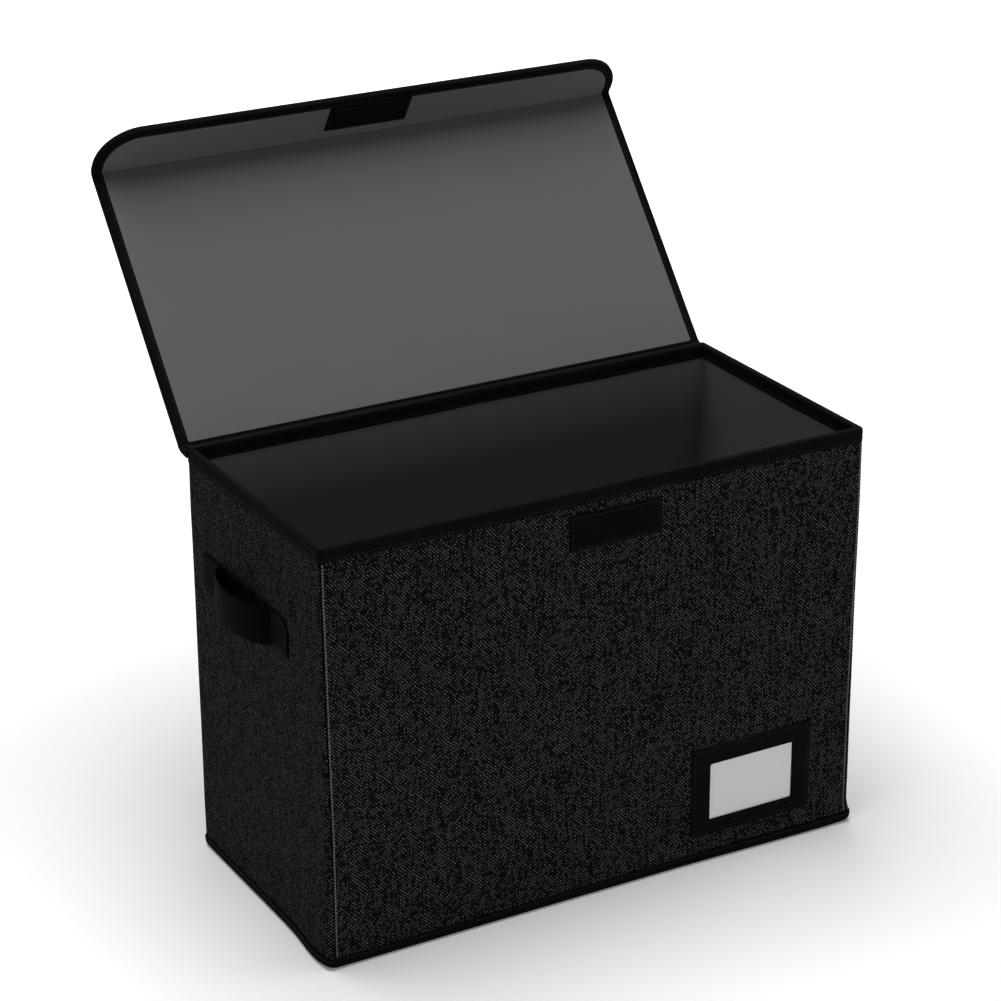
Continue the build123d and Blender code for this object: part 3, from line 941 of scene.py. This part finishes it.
into_tape = lid_first + 1.5
inside_curve = bent(near_lid(into_tape, 0.1), near_lid(0.5, 1.2), (half_depth - 2.0, rim_high[2] - 0.4))
outside_curve = bent(near_lid(into_tape, lid_thick - 0.1), near_lid(-0.6, lid_thick + 0.1),
                     (half_depth + 0.3, rim_high[2] - 7.5))
across_end = np.array([-8.0, -5.0, -2.5, -1.2, -0.5, -0.12, 0.0])
shrink = np.array([0.12, 0.02, 0.0, 0.0, 0.08, 0.24, 0.42])
end_turn = ((0, half_depth + 1, rim_high[2] - 3), (0, *near_lid(lid_first, lid_thick / 2)))
for side, name in ((-1, "left"), (1, "right")):
    middle = (inside_curve + outside_curve) / 2
    loops = np.stack([np.concatenate([inside_curve + (middle - inside_curve) * k,
                                      (outside_curve + (middle - outside_curve) * k)[::-1]]) for k in shrink])
    x = side * (half_lid + binding + across_end)[:, None] + 0 * loops[..., 0]
    v = np.broadcast_to(loop_length(loops[0])[None, :], x.shape)
    rings = np.concatenate([x[..., None], loops], -1)
    end = make_shell(f"hinge_end_{name}", rings, np.stack([x, v], -1), binding_tape)
    settle(end, ("back", "lid"), end_turn, "binding_tape")
print("hinge ends", -across_end[0], "mm wide")

# %% [markdown]
# The closure: a strip of loops sewn to the front wall, and a strip of hooks inside the flap.
# Both are thin pads with a pile, a little thicker inside than along their sewn edges.

# %% The hook and loop strips
def pad(width, height, thickness, columns=40, rows=18, edge=2.5):
    """Rings of a pad on its own plane (across, up, out), and its map. It is thin at its edges."""
    x = np.linspace(0, width, columns)[:, None]
    y = np.linspace(0, height, rows)
    y = np.concatenate([y, y[::-1]])[None, :]
    outer = (np.arange(2 * rows) < rows)[None, :]
    rim = np.minimum(np.minimum(x, width - x), np.minimum(y, height - y))
    rise = 0.55 + 0.45 * np.sqrt(np.clip(rim / edge, 0, 1))
    out = np.where(outer, thickness * rise, 0)
    x, y, out = np.broadcast_arrays(x, y, out)
    return np.stack([x, y, out], -1), np.stack([x, y], -1)


loop_low, loop_high = node_box("loop_strip")
size = loop_high - loop_low
local, cloth_map = pad(size[0], size[2], size[1])
x, z, out = loop_low[0] + local[..., 0], loop_low[2] + local[..., 1], local[..., 2]
rings = np.stack([x, -half_depth - out, z], -1)
loop_pad = make_shell("loop_pad", rings, cloth_map, pile)
settle(loop_pad, ("front",), None, "hook_and_loop", "loop_strip")

hook_low, hook_high = node_box("hook_strip")
flap_right = turned(flap_along, -np.pi / 2)
hook_deep = -reach_of("hook_strip", crease, flap_right)[0]
local, cloth_map = pad(hook_high[0] - hook_low[0], hook_to - hook_from, hook_deep + binding)
place = crease + (hook_from + local[..., 1:2]) * flap_along + (binding - local[..., 2:3]) * flap_right
rings = np.concatenate([hook_low[0] + local[..., :1], place], -1)
hook_pad = make_shell("hook_pad", rings, cloth_map, pile)
settle(hook_pad, ("flap",), None, "hook_and_loop", "hook_strip")
print("loop strip", size.round(1), "mm, hooks", round(hook_deep, 2), "mm deep")

# %% [markdown]
# The label holder is a sheet sewn down on three sides, with a window cut in it. Its upper edge is
# left open as a pocket for the card. It is made as a ring: one loop of points round the window,
# one round the outside, and the sheet's section drawn between them.

# %% The label holder
holder_low, holder_high = node_box("label_holder")
pane_low, pane_high = node_box("label_pane")
window_half = np.array([33.25, 21.0])
window_centre = np.array([(holder_low[0] + holder_high[0]) / 2, 53.0])
skin = (holder_high[1] - holder_low[1]) - (-pane_low[1] - half_depth)


def rounded_loop(centre, half, radius, count=10, straight=14):
    """Points round a rectangle with round corners, equally many on every such rectangle."""
    parts = []
    for q, (sx, sy) in enumerate(((1, 1), (-1, 1), (-1, -1), (1, -1))):
        angle = np.radians(np.linspace(90 * q, 90 * q + 90, count))
        cx, cy = sx * (half[0] - radius), sy * (half[1] - radius)
        arc = np.stack([cx + radius * np.cos(angle), cy + radius * np.sin(angle)], -1)
        nx, ny = ((-sx, sy), (sx, -sy))[q % 2]
        end = np.array([nx * (half[0] - radius), ny * (half[1] - radius)])
        out = np.array([np.cos(angle[-1]), np.sin(angle[-1])]) * radius
        share = np.linspace(0, 1, straight + 2)[1:-1, None]
        parts += [arc, arc[-1] + share * (end + out - arc[-1])]
    return np.concatenate(parts) + centre


outer_half = np.array([(holder_high - holder_low)[0], (holder_high - holder_low)[2]]) / 2
outer_centre = np.array([window_centre[0], (holder_low[2] + holder_high[2]) / 2])
window = rounded_loop(window_centre, window_half, 1.2)
rim = rounded_loop(outer_centre, outer_half, 1.5)
pocket_half = np.array([(pane_high - pane_low)[0] / 2, 0])
top_open = fade(rim[:, 1], outer_centre[1] + outer_half[1] - 2.5, outer_centre[1] + outer_half[1] - 0.5)
top_open = top_open * (np.abs(rim[:, 0] - outer_centre[0]) < pocket_half[0])
deep = holder_high[1] - holder_low[1]
pocket = -pane_low[1] - half_depth
share = np.array([0.0, 0.03, 0.28, 0.5, 0.9, 1.0])
front = np.array([deep - 0.2, deep, deep, deep - 0.1, deep - 0.15, deep - 0.4])
back = np.array([pocket, pocket, pocket, 0.0, 0.0, 0.0])
back_open = np.array([pocket] * 6)
ring_place = window[:, None] + (rim - window)[:, None] * np.concatenate([share, share[::-1]])[None, :, None]
front_line = np.broadcast_to(front, (len(rim), 6))
back_line = back + top_open[:, None] * (back_open - back)
out = np.concatenate([front_line, back_line[:, ::-1]], 1)
rings = np.stack([ring_place[..., 0], -half_depth - out, ring_place[..., 1]], -1)
holder = make_shell("holder_sheet", rings, ring_place, holder_sheet, closed=True)
settle(holder, ("front",), None, "holder_sheet", "label_holder")
print("holder skin", round(skin, 2), "mm")

# %% [markdown]
# A strap on each end wall is sewn down at both ends and stands off the wall between them, so a
# hand goes under it. It leaves the wall steeply, runs nearly flat and sags a little. It is made
# in two lengths that meet over the wall's crease, each moving with its own half of the wall.

# %% The straps
strap_low, strap_high = node_box("left_strap")
rear_low, rear_high = node_box("left_strap_rear_patch")
end_low, end_high = node_box("left_strap_front_patch")
strap_mid = (strap_low[1] + strap_high[1]) / 2
strap_half = (strap_high[1] - strap_low[1]) / 2
strap_out = -half_length - strap_low[0]
strap_thick = 1.8
strap_rest = 0.8  # from the wall to the strap's middle line where it is sewn down
strap_corner = 9.0  # radius of the front end's upper corner
bulge = strap_out - strap_thick / 2 - 1.5


def strap_line(count=900):
    """The strap's middle line in plan: depth, how far it stands off the wall, and its length.

    It rises as the root of a cosine, which is steep at both ends and flat between them.
    """
    y = strap_mid + strap_half * np.cos(np.linspace(0, np.pi, count))
    rise = np.sqrt(np.clip(np.cos((y - strap_mid) / strap_half * np.pi / 2), 0, 1))
    y = np.concatenate([[rear_high[1]], y, [end_low[1]]])
    out = np.concatenate([[0], rise, [0]]) * (bulge - strap_rest) + strap_rest
    line = np.stack([y, out], -1)
    return line, loop_length(line)


line, length = strap_line()
at = np.linspace(0, length[-1], 150)
path = np.stack([np.interp(at, length, line[:, 0]), np.interp(at, length, line[:, 1])], -1)
for _ in range(3):
    path[1:-1] = (path[:-2] + 2 * path[1:-1] + path[2:]) / 4
crossing = np.argmin(np.abs(path[:, 0]))
path[crossing, 0] = 0.0
tangent = np.gradient(path, axis=0)
tangent /= np.linalg.norm(tangent, axis=1, keepdims=True)
normal = np.stack([tangent[:, 1], -tangent[:, 0]], -1)
strap_top, strap_wide = strap_high[2], strap_high[2] - strap_low[2]
lift = (path[:, 1] - strap_rest) / (bulge - strap_rest)
sag = 1.2 * lift**2

across = np.linspace(-1, 1, 15)
round_edge = np.sqrt(1 - 0.85 * np.clip((np.abs(across) - 0.86) / 0.14, 0, 1) ** 2)
section_z = np.concatenate([across, across[::-1]]) * strap_wide / 2
section_out = np.concatenate([round_edge, -round_edge[::-1]]) * 0.75
into_corner = np.clip(strap_corner - (path[:, 0] - end_low[1]), 0, strap_corner)
front_drop = strap_corner - np.sqrt(strap_corner**2 - into_corner**2)


def strap_rings(rows, side):
    """The strap's section along part of its line, on one end wall."""
    p, n = path[rows][:, None, :], normal[rows][:, None, :]
    place = p + n * section_out[None, :, None]
    z = strap_top - strap_wide / 2 + section_z[None, :] - sag[rows][:, None]
    z = np.minimum(z, strap_top - front_drop[rows][:, None] - sag[rows][:, None])
    x = side * (half_length + np.maximum(place[..., 1], 0.05))
    rings = np.stack(np.broadcast_arrays(x, place[..., 0], z), -1)
    u = at[rows][:, None] + 0 * section_z[None, :]
    return rings, np.stack([u, section_z[None, :] + 0 * u], -1)


def flatten(piece):
    """Gives a piece of the strap a mesh of its own."""
    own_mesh(piece)


for side, name in ((-1, "left"), (1, "right")):
    for part, rows in (("rear", slice(0, crossing + 1)), ("front", slice(crossing, None))):
        rings, cloth_map = strap_rings(rows, side)
        strap = make_shell(f"{name}_strap_{part}_length", rings, cloth_map, strap_web)
        solids = [f"{name}_strap_{part}_patch"] + ([f"{name}_strap"] if part == "rear" else [])
        settle(strap, (f"{name}_{part}",), None, "strap_web", *solids)
        flatten(strap)
print("strap", round(length[-1]), "mm long, stands off by", round(bulge, 1), "mm")

# %% [markdown]
# Behind each strap a strip of near-black cloth lies on the wall: painted shade for the dark space
# under the strap. The sewn ends have a thin near-black cord along their edges: painted shade for
# the dark line there.

# %% Painted shade behind the straps, and along the edges of their patches
def tube(name, path, out, radius, material, count=6):
    """A round cord along a path: a circle of points at each, square to the path."""
    ahead = np.gradient(path, axis=0)
    ahead /= np.linalg.norm(ahead, axis=1, keepdims=True)
    up = np.broadcast_to(np.array(out, float), path.shape)
    side = np.cross(ahead, up)
    angle = np.arange(count) * 2 * np.pi / count
    turn = np.cos(angle)[None, :, None] * side[:, None] + np.sin(angle)[None, :, None] * up[:, None]
    v = np.stack(np.broadcast_arrays(loop_length(path)[:, None], (angle * radius)[None, :]), -1)
    return make_shell(name, path[:, None] + radius * turn, v, material)


strip_heights = np.linspace(strap_top - strap_wide + 0.6, strap_top - 0.4, 12)
for side, name in ((-1, "left"), (1, "right")):
    for part, ends in (("rear", (rear_low[1] + 1, 0.3)), ("front", (-0.3, end_high[1] - 1))):
        y = np.linspace(*ends, 24)[:, None]
        z = np.concatenate([strip_heights, strip_heights[::-1]])[None, :]
        out = np.where(np.arange(24) < 12, 0.75, 0.35)[None, :]
        x, y, z = np.broadcast_arrays(side * (half_length + out), y, z)
        rings = np.stack([x, y, z], -1)
        # The strip is painted shade for the space under the strap.
        strip = make_shell(f"{name}_strap_{part}_backing", rings, rings[..., 1:], painted_shade_cloth)
        settle(strip, (f"{name}_{part}",), None, "strap_web")
        flatten(strip)
        if part == "rear":
            corners = [(rear_high[1], strap_low[2]), (rear_high[1], strap_top), (rear_low[1], strap_top)]
        else:
            turn = np.linspace(0, np.pi / 2, 9)[:, None]
            bow = strap_corner * (1 - np.concatenate([np.sin(turn), np.cos(turn)], -1))
            bow = [end_low[1], strap_top] + bow * [1, -1]
            corners = [(end_high[1], strap_top), *bow, (end_low[1], strap_low[2])]
        path = soft_path(corners, 0.8, 3)
        path = np.concatenate([np.full((len(path), 1), side * (half_length + 0.55)), path], -1)
        # The cord is painted shade along the patch's edge.
        cord = tube(f"{name}_strap_{part}_shade_edging", path, (side, 0, 0), 0.6, painted_shade_cloth)
        settle(cord, (f"{name}_{part}",), None, "strap_web")
        flatten(cord)
print("shade_strip", round(np.ptp(strip_heights), 1), "mm wide")

# %% [markdown]
# Thread. All the tapes, the holder, the closure strips and the straps are sewn on with black
# thread in a running stitch, and the upright corners are closed with a coarser grey thread,
# whose stitches show as a row of beads. That grey is partly the thread's own colour and partly
# painted highlight for the light caught on the fold of each corner. A cord could stand for a row,
# but single stitches catch the light one by one, so each stitch is its own small egg, and a row has hundreds.

# %% Rows of stitches
egg_along = np.array([-0.5, -0.3, 0.0, 0.3, 0.5])
egg_width = np.array([0.45, 0.85, 1.0, 0.85, 0.45])
egg_angle = np.arange(6) * np.pi / 3
egg_faces = shell_faces(len(egg_along), len(egg_angle))


def at_lengths(values, run, where):
    """Rows of values read off at some lengths along a path."""
    return np.stack([np.interp(where, run, values[:, i]) for i in range(3)], -1)


def unit(rows):
    """Rows scaled to a length of one."""
    return rows / np.linalg.norm(rows, axis=-1, keepdims=True)


def stitches(name, rows, pitch, size, material):
    """Many stitches as one piece, from rows that are each a path and the way off the cloth.

    Each stitch is an egg of five rings: its width is greatest in the middle, its long axis
    follows the path, and half of it is sunk in the cloth. size is its length, width and height.
    """
    eggs, maps = [], []
    for path, out in rows:
        run = loop_length(path)
        count = max(int(run[-1] / pitch), 2)
        middle = (np.arange(count) + 0.5) * run[-1] / count
        tips = [at_lengths(path, run, middle + way * size[0] / 2) for way in (-1, 1)]
        ahead = unit(tips[1] - tips[0])
        up = at_lengths(np.broadcast_to(out, path.shape), run, middle)
        up = unit(up - (up * ahead).sum(-1, keepdims=True) * ahead)
        side = np.cross(ahead, up)
        round_it = (side[:, None] * np.cos(egg_angle)[None, :, None] * size[1] / 2
                    + up[:, None] * np.sin(egg_angle)[None, :, None] * size[2])
        slices = ahead[:, None] * (egg_along * size[0])[None, :, None]
        centre = at_lengths(path, run, middle)[:, None] + slices
        eggs.append(centre[:, :, None] + egg_width[None, :, None, None] * round_it[:, None])
        u = middle[:, None, None] + (egg_along * size[0])[None, :, None] + 0 * egg_angle
        maps.append(np.stack([u, 0 * u + egg_angle * size[1] / 2], -1))
    eggs, maps = np.concatenate(eggs), np.concatenate(maps)
    first = np.arange(len(eggs))[:, None, None] * len(egg_along) * len(egg_angle)
    return make_piece(name, eggs, (egg_faces[None] + first).reshape(-1, 4), maps, material)


def wall_row(s, d, z, way=1):
    """A row on the walls, d off their line, and the way off the cloth there."""
    s, d, z = np.broadcast_arrays(np.asarray(s, float), d, z)
    path = np.concatenate([around(s, d), z[:, None]], -1)
    out = np.concatenate([around(s, d + way) - around(s, d), 0 * z[:, None]], -1)
    return path, out


# %% Stitches of the rim, the foot and the corners
fine, coarse = (2.1, 0.55, 0.28), (1.8, 1.35, 0.7)
fine_pitch, coarse_pitch = 3.0, 2.2
sewn_in = 1.7  # from a tape's edge to its row of stitches
sewn = 0
for name, (start, stop, bodies, turn) in STRETCHES.items():
    s = stations(start + 0.4, stop - 0.4)
    z = rim_low[2] + sewn_in + 0 * s
    clear = (s < marks[3] - 4) | (s > marks[4] + 6)  # the corner that opens has none inside
    rows = [wall_row(s, binding, z), wall_row(s[clear], -wall - binding, z[clear], -1)]
    piece = stitches(f"rim_stitches_{name}", rows, fine_pitch, fine, dark_thread)
    settle(piece, bodies, turn, "binding_tape")
    sewn += len(piece.data.vertices) // 30

s = stations(0, round_the_box - 0.5, 6.0)
foot_row = wall_row(s, foot_out + flare(s, foot_high[2]), foot_high[2] - sewn_in)
piece = stitches("foot_stitches", [foot_row], fine_pitch, fine, dark_thread)
settle(piece, ("back",), None, "binding_tape")
sewn += len(piece.data.vertices) // 30

z = np.linspace(foot_high[2] + 1.5, rim_low[2] - 0.5, 60)
lean = np.interp(z, [90, 160, 260], [1.3, 0.3, -0.9])
seams = {"front": (marks[2] + lean, marks[3] - lean), "back": (marks[6] + lean, marks[7] - lean)}
for body, places in seams.items():
    # The pale thread here is partly painted highlight for the light on the corner's fold.
    rows = [wall_row(s, ripple(s, z) + 0.25, z) for s in places]
    piece = stitches(f"corner_seams_{body}", rows, coarse_pitch, coarse, pale_thread_and_highlight)
    settle(piece, (body,), None, "cover_cloth")
    sewn += len(piece.data.vertices) // 30
    # Beside each row, a thin near-black cord: painted shade for the shadow along the seam.
    for i, s in enumerate(places):
        way = -1 if i == 0 else 1
        path, out = wall_row(s + way * 1.2, ripple(s, z) + 0.1, z)
        groove = tube(f"corner_seam_shade_{body}_{i + 1}", path, out, 0.42, painted_shade_cloth)
        settle(groove, (body,), None, "cover_cloth")

# %% Stitches of the lid, the closure, the holder and the straps
def edge_row(level, way):
    """A row that follows the lid's edge tape on one of its sides."""
    length = lengths[:, 0]
    length = length[(length > 1) & (length < edge_marks[-1] - 1)]
    x, t = along_edge(length, edge_band - sewn_in)
    path = on_lid(x, t, level)
    return path, on_lid(x, t, level + way) - path


def frame_row(width, height, inset, open_top=False, count=30):
    """A rectangle inset from a width by a height, as points across and up."""
    a, b, c, d = inset, width - inset, inset, height - inset
    corners = np.array([(a, d), (a, c), (b, c), (b, d)] + ([] if open_top else [(a, d)]))
    share = np.linspace(0, 1, count)[:-1, None]
    legs = [p + share * (q - p) for p, q in zip(corners[:-1], corners[1:])]
    return np.concatenate(legs + [corners[-1:]])


piece = stitches("lid_stitches", [edge_row(0.0, -1), edge_row(lid_thick, 1)], fine_pitch, fine, dark_thread)
settle(piece, ("lid", "flap"), flap_turn, "binding_tape")
sewn += len(piece.data.vertices) // 30

flat = frame_row(*(loop_high - loop_low)[[0, 2]], 1.9)
on_loop = -half_depth - 1.42
path = np.stack([loop_low[0] + flat[:, 0], on_loop + 0 * flat[:, 0], loop_low[2] + flat[:, 1]], -1)
outline = frame_row(*(holder_high - holder_low)[[0, 2]], 2.4)
around_holder = np.stack([holder_low[0] + outline[:, 0], -half_depth - deep + 0.12 + 0 * outline[:, 0],
                          holder_low[2] + outline[:, 1]], -1)
forwards = np.array([0, -1.0, 0])
rows = [(path, forwards), (around_holder, forwards)]
piece = stitches("front_stitches", rows, fine_pitch, fine, dark_thread)
settle(piece, ("front",), None, "binding_tape")
sewn += len(piece.data.vertices) // 30

flat = frame_row(hook_high[0] - hook_low[0], hook_to - hook_from, 1.9)
on_hooks = binding - (hook_deep + binding) * 0.94
place = crease + (hook_from + flat[:, 1:]) * flap_along + on_hooks * flap_right
path = np.concatenate([hook_low[0] + flat[:, :1], place], -1)
piece = stitches("hook_stitches", [(path, np.array([0, *-flap_right]))], fine_pitch, fine, dark_thread)
settle(piece, ("flap",), None, "binding_tape")

patch_inset = 3.0
for side, name in ((-1, "left"), (1, "right")):
    for part, (low, high) in (("rear", (rear_low, rear_high)), ("front", (end_low, end_high))):
        flat = frame_row(high[1] - low[1], strap_wide, patch_inset)
        if part == "front":
            middle = np.array([strap_corner, strap_wide - strap_corner])
            away = np.hypot(*(flat - middle).T)
            limit = strap_corner - patch_inset
            pull = ((flat[:, 0] < middle[0]) & (flat[:, 1] > middle[1]) & (away > limit))[:, None]
            flat = np.where(pull, middle + (flat - middle) * limit / away[:, None], flat)
        path = np.stack([side * (half_length + 1.55) + 0 * flat[:, 0], low[1] + flat[:, 0],
                         strap_top - strap_wide + flat[:, 1]], -1)
        rows = [(path, np.array([side, 0.0, 0]))]
        piece = stitches(f"{name}_strap_{part}_stitches", rows, fine_pitch, fine, dark_thread)
        settle(piece, (f"{name}_{part}",), None, "strap_web")
        flatten(piece)
        sewn += len(piece.data.vertices) // 30
print(sewn, "stitches")

# %% [markdown]
# The stiff parts keep their solids, and only get a finish: the grey boards inside the cloth, the
# card and the clear pane over it.

# %% Finishes of the solids that stay
for node, piece in frame["nodes"].items():
    finish = wall_board if node.endswith(("_board", "_core")) else None
    finish = {"label_card": card_paper, "label_pane": clear_pane}.get(node, finish)
    if finish:
        piece.data.materials.clear()
        piece.data.materials.append(finish)

# %% [markdown]
# The camera stands where the photograph was taken from. Its place, direction and lens were found
# from the box's edges: the three directions below are its right, its down and straight ahead.

# %% Camera
camera = bpy.data.objects.new("Camera", bpy.data.cameras.new("Camera"))
bpy.context.scene.collection.objects.link(camera)
camera.data.sensor_width = 36.0
camera.data.lens = 110.636
camera.data.clip_end = 20.0
right, down = (0.86981, -0.49336, -0.00455), (-0.19430, -0.33404, -0.92231)
ahead = (0.45351, 0.80312, -0.38642)
turn = Matrix((right, [-c for c in down], [-c for c in ahead])).transposed().to_4x4()
turn.translation = [c * MM for c in (-941.62, -1630.65, 1038.06)]
camera.matrix_world = turn
bpy.context.scene.camera = camera
print("camera", round(turn.translation.length, 2), "m from the middle of the floor")

# %% [markdown]
# Plain soft light: a wide lamp high over the box and a weaker one in front of it. The sky is
# white where it is seen, and gives next to no light. The floor is near white and keeps the
# box's shadow.

# %% Floor, light and view
def soft_lamp(name, place, target, width, power):
    """A square lamp of some width that looks at a point."""
    lamp = bpy.data.objects.new(name, bpy.data.lights.new(name, "AREA"))
    lamp.data.size = width
    lamp.data.energy = power
    bpy.context.scene.collection.objects.link(lamp)
    lamp.location = place
    away = lamp.location - Vector(target)
    lamp.rotation_euler = away.to_track_quat("Z", "Y").to_euler()
    return lamp


floor_reach = 6.0
floor_mesh = bpy.data.meshes.new("floor")
corners = [(-1, -1), (1, -1), (1, 1), (-1, 1)]
floor_mesh.from_pydata([(x * floor_reach, y * floor_reach, 0) for x, y in corners], [], [(0, 1, 2, 3)])
floor = bpy.data.objects.new("floor", floor_mesh)
bpy.context.scene.collection.objects.link(floor)
floor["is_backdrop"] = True
floor_paint = bpy.data.materials.new("Floor")
floor_paint.use_nodes = True
wires = Wiring(floor_paint.node_tree)
shader = floor_paint.node_tree.nodes["Principled BSDF"]
shader.inputs["Base Color"].default_value = grey(0.9)
shader.inputs["Roughness"].default_value = 0.95
shader.inputs["Specular IOR Level"].default_value = 0.0
seen = wires.add("ShaderNodeLightPath").outputs["Is Camera Ray"]
place = wires.add("ShaderNodeTexCoord").outputs["Object"]
away = wires.add("ShaderNodeVectorMath", {0: place}, operation="LENGTH")
glow = wires.span(away.outputs["Value"], 0.4, 1.8, 0.14, 0.95)
shader.inputs["Emission Color"].default_value = grey(1.0)
wires.tree.links.new(wires.math("MULTIPLY", seen, glow), shader.inputs["Emission Strength"])
floor_mesh.materials.append(floor_paint)

world = bpy.data.worlds.new("World")
bpy.context.scene.world = world
world.use_nodes = True
wires = Wiring(world.node_tree)
sky = world.node_tree.nodes["Background"]
sky_light = 0.0135
kind = wires.add("ShaderNodeLightPath").outputs
mirrored = wires.math("MAXIMUM", kind["Is Glossy Ray"], kind["Is Transmission Ray"])
plain = wires.math("MAXIMUM", kind["Is Camera Ray"], mirrored)
sky.inputs["Color"].default_value = grey(1.0)
wires.tree.links.new(wires.span(plain, 0.0, 1.0, sky_light, 1.0), sky.inputs["Strength"])
soft_lamp("overhead lamp", (-0.1, 0.3, 2.5), (-0.1, 0.3, 0.0), 1.9, 73)
soft_lamp("front lamp", (-0.1, -3.0, 0.4), (0, 0, 0.15), 1.4, 28)

bpy.context.scene.view_settings.view_transform = "Standard"
print("floor", 2 * floor_reach, "m wide, two lamps")

visual_low, visual_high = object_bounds()
grown = [round((v - c) / MM, 1) for c, v in zip([*cad_low, *cad_high], [*visual_low, *visual_high])]
print("grown by", grown, "mm")
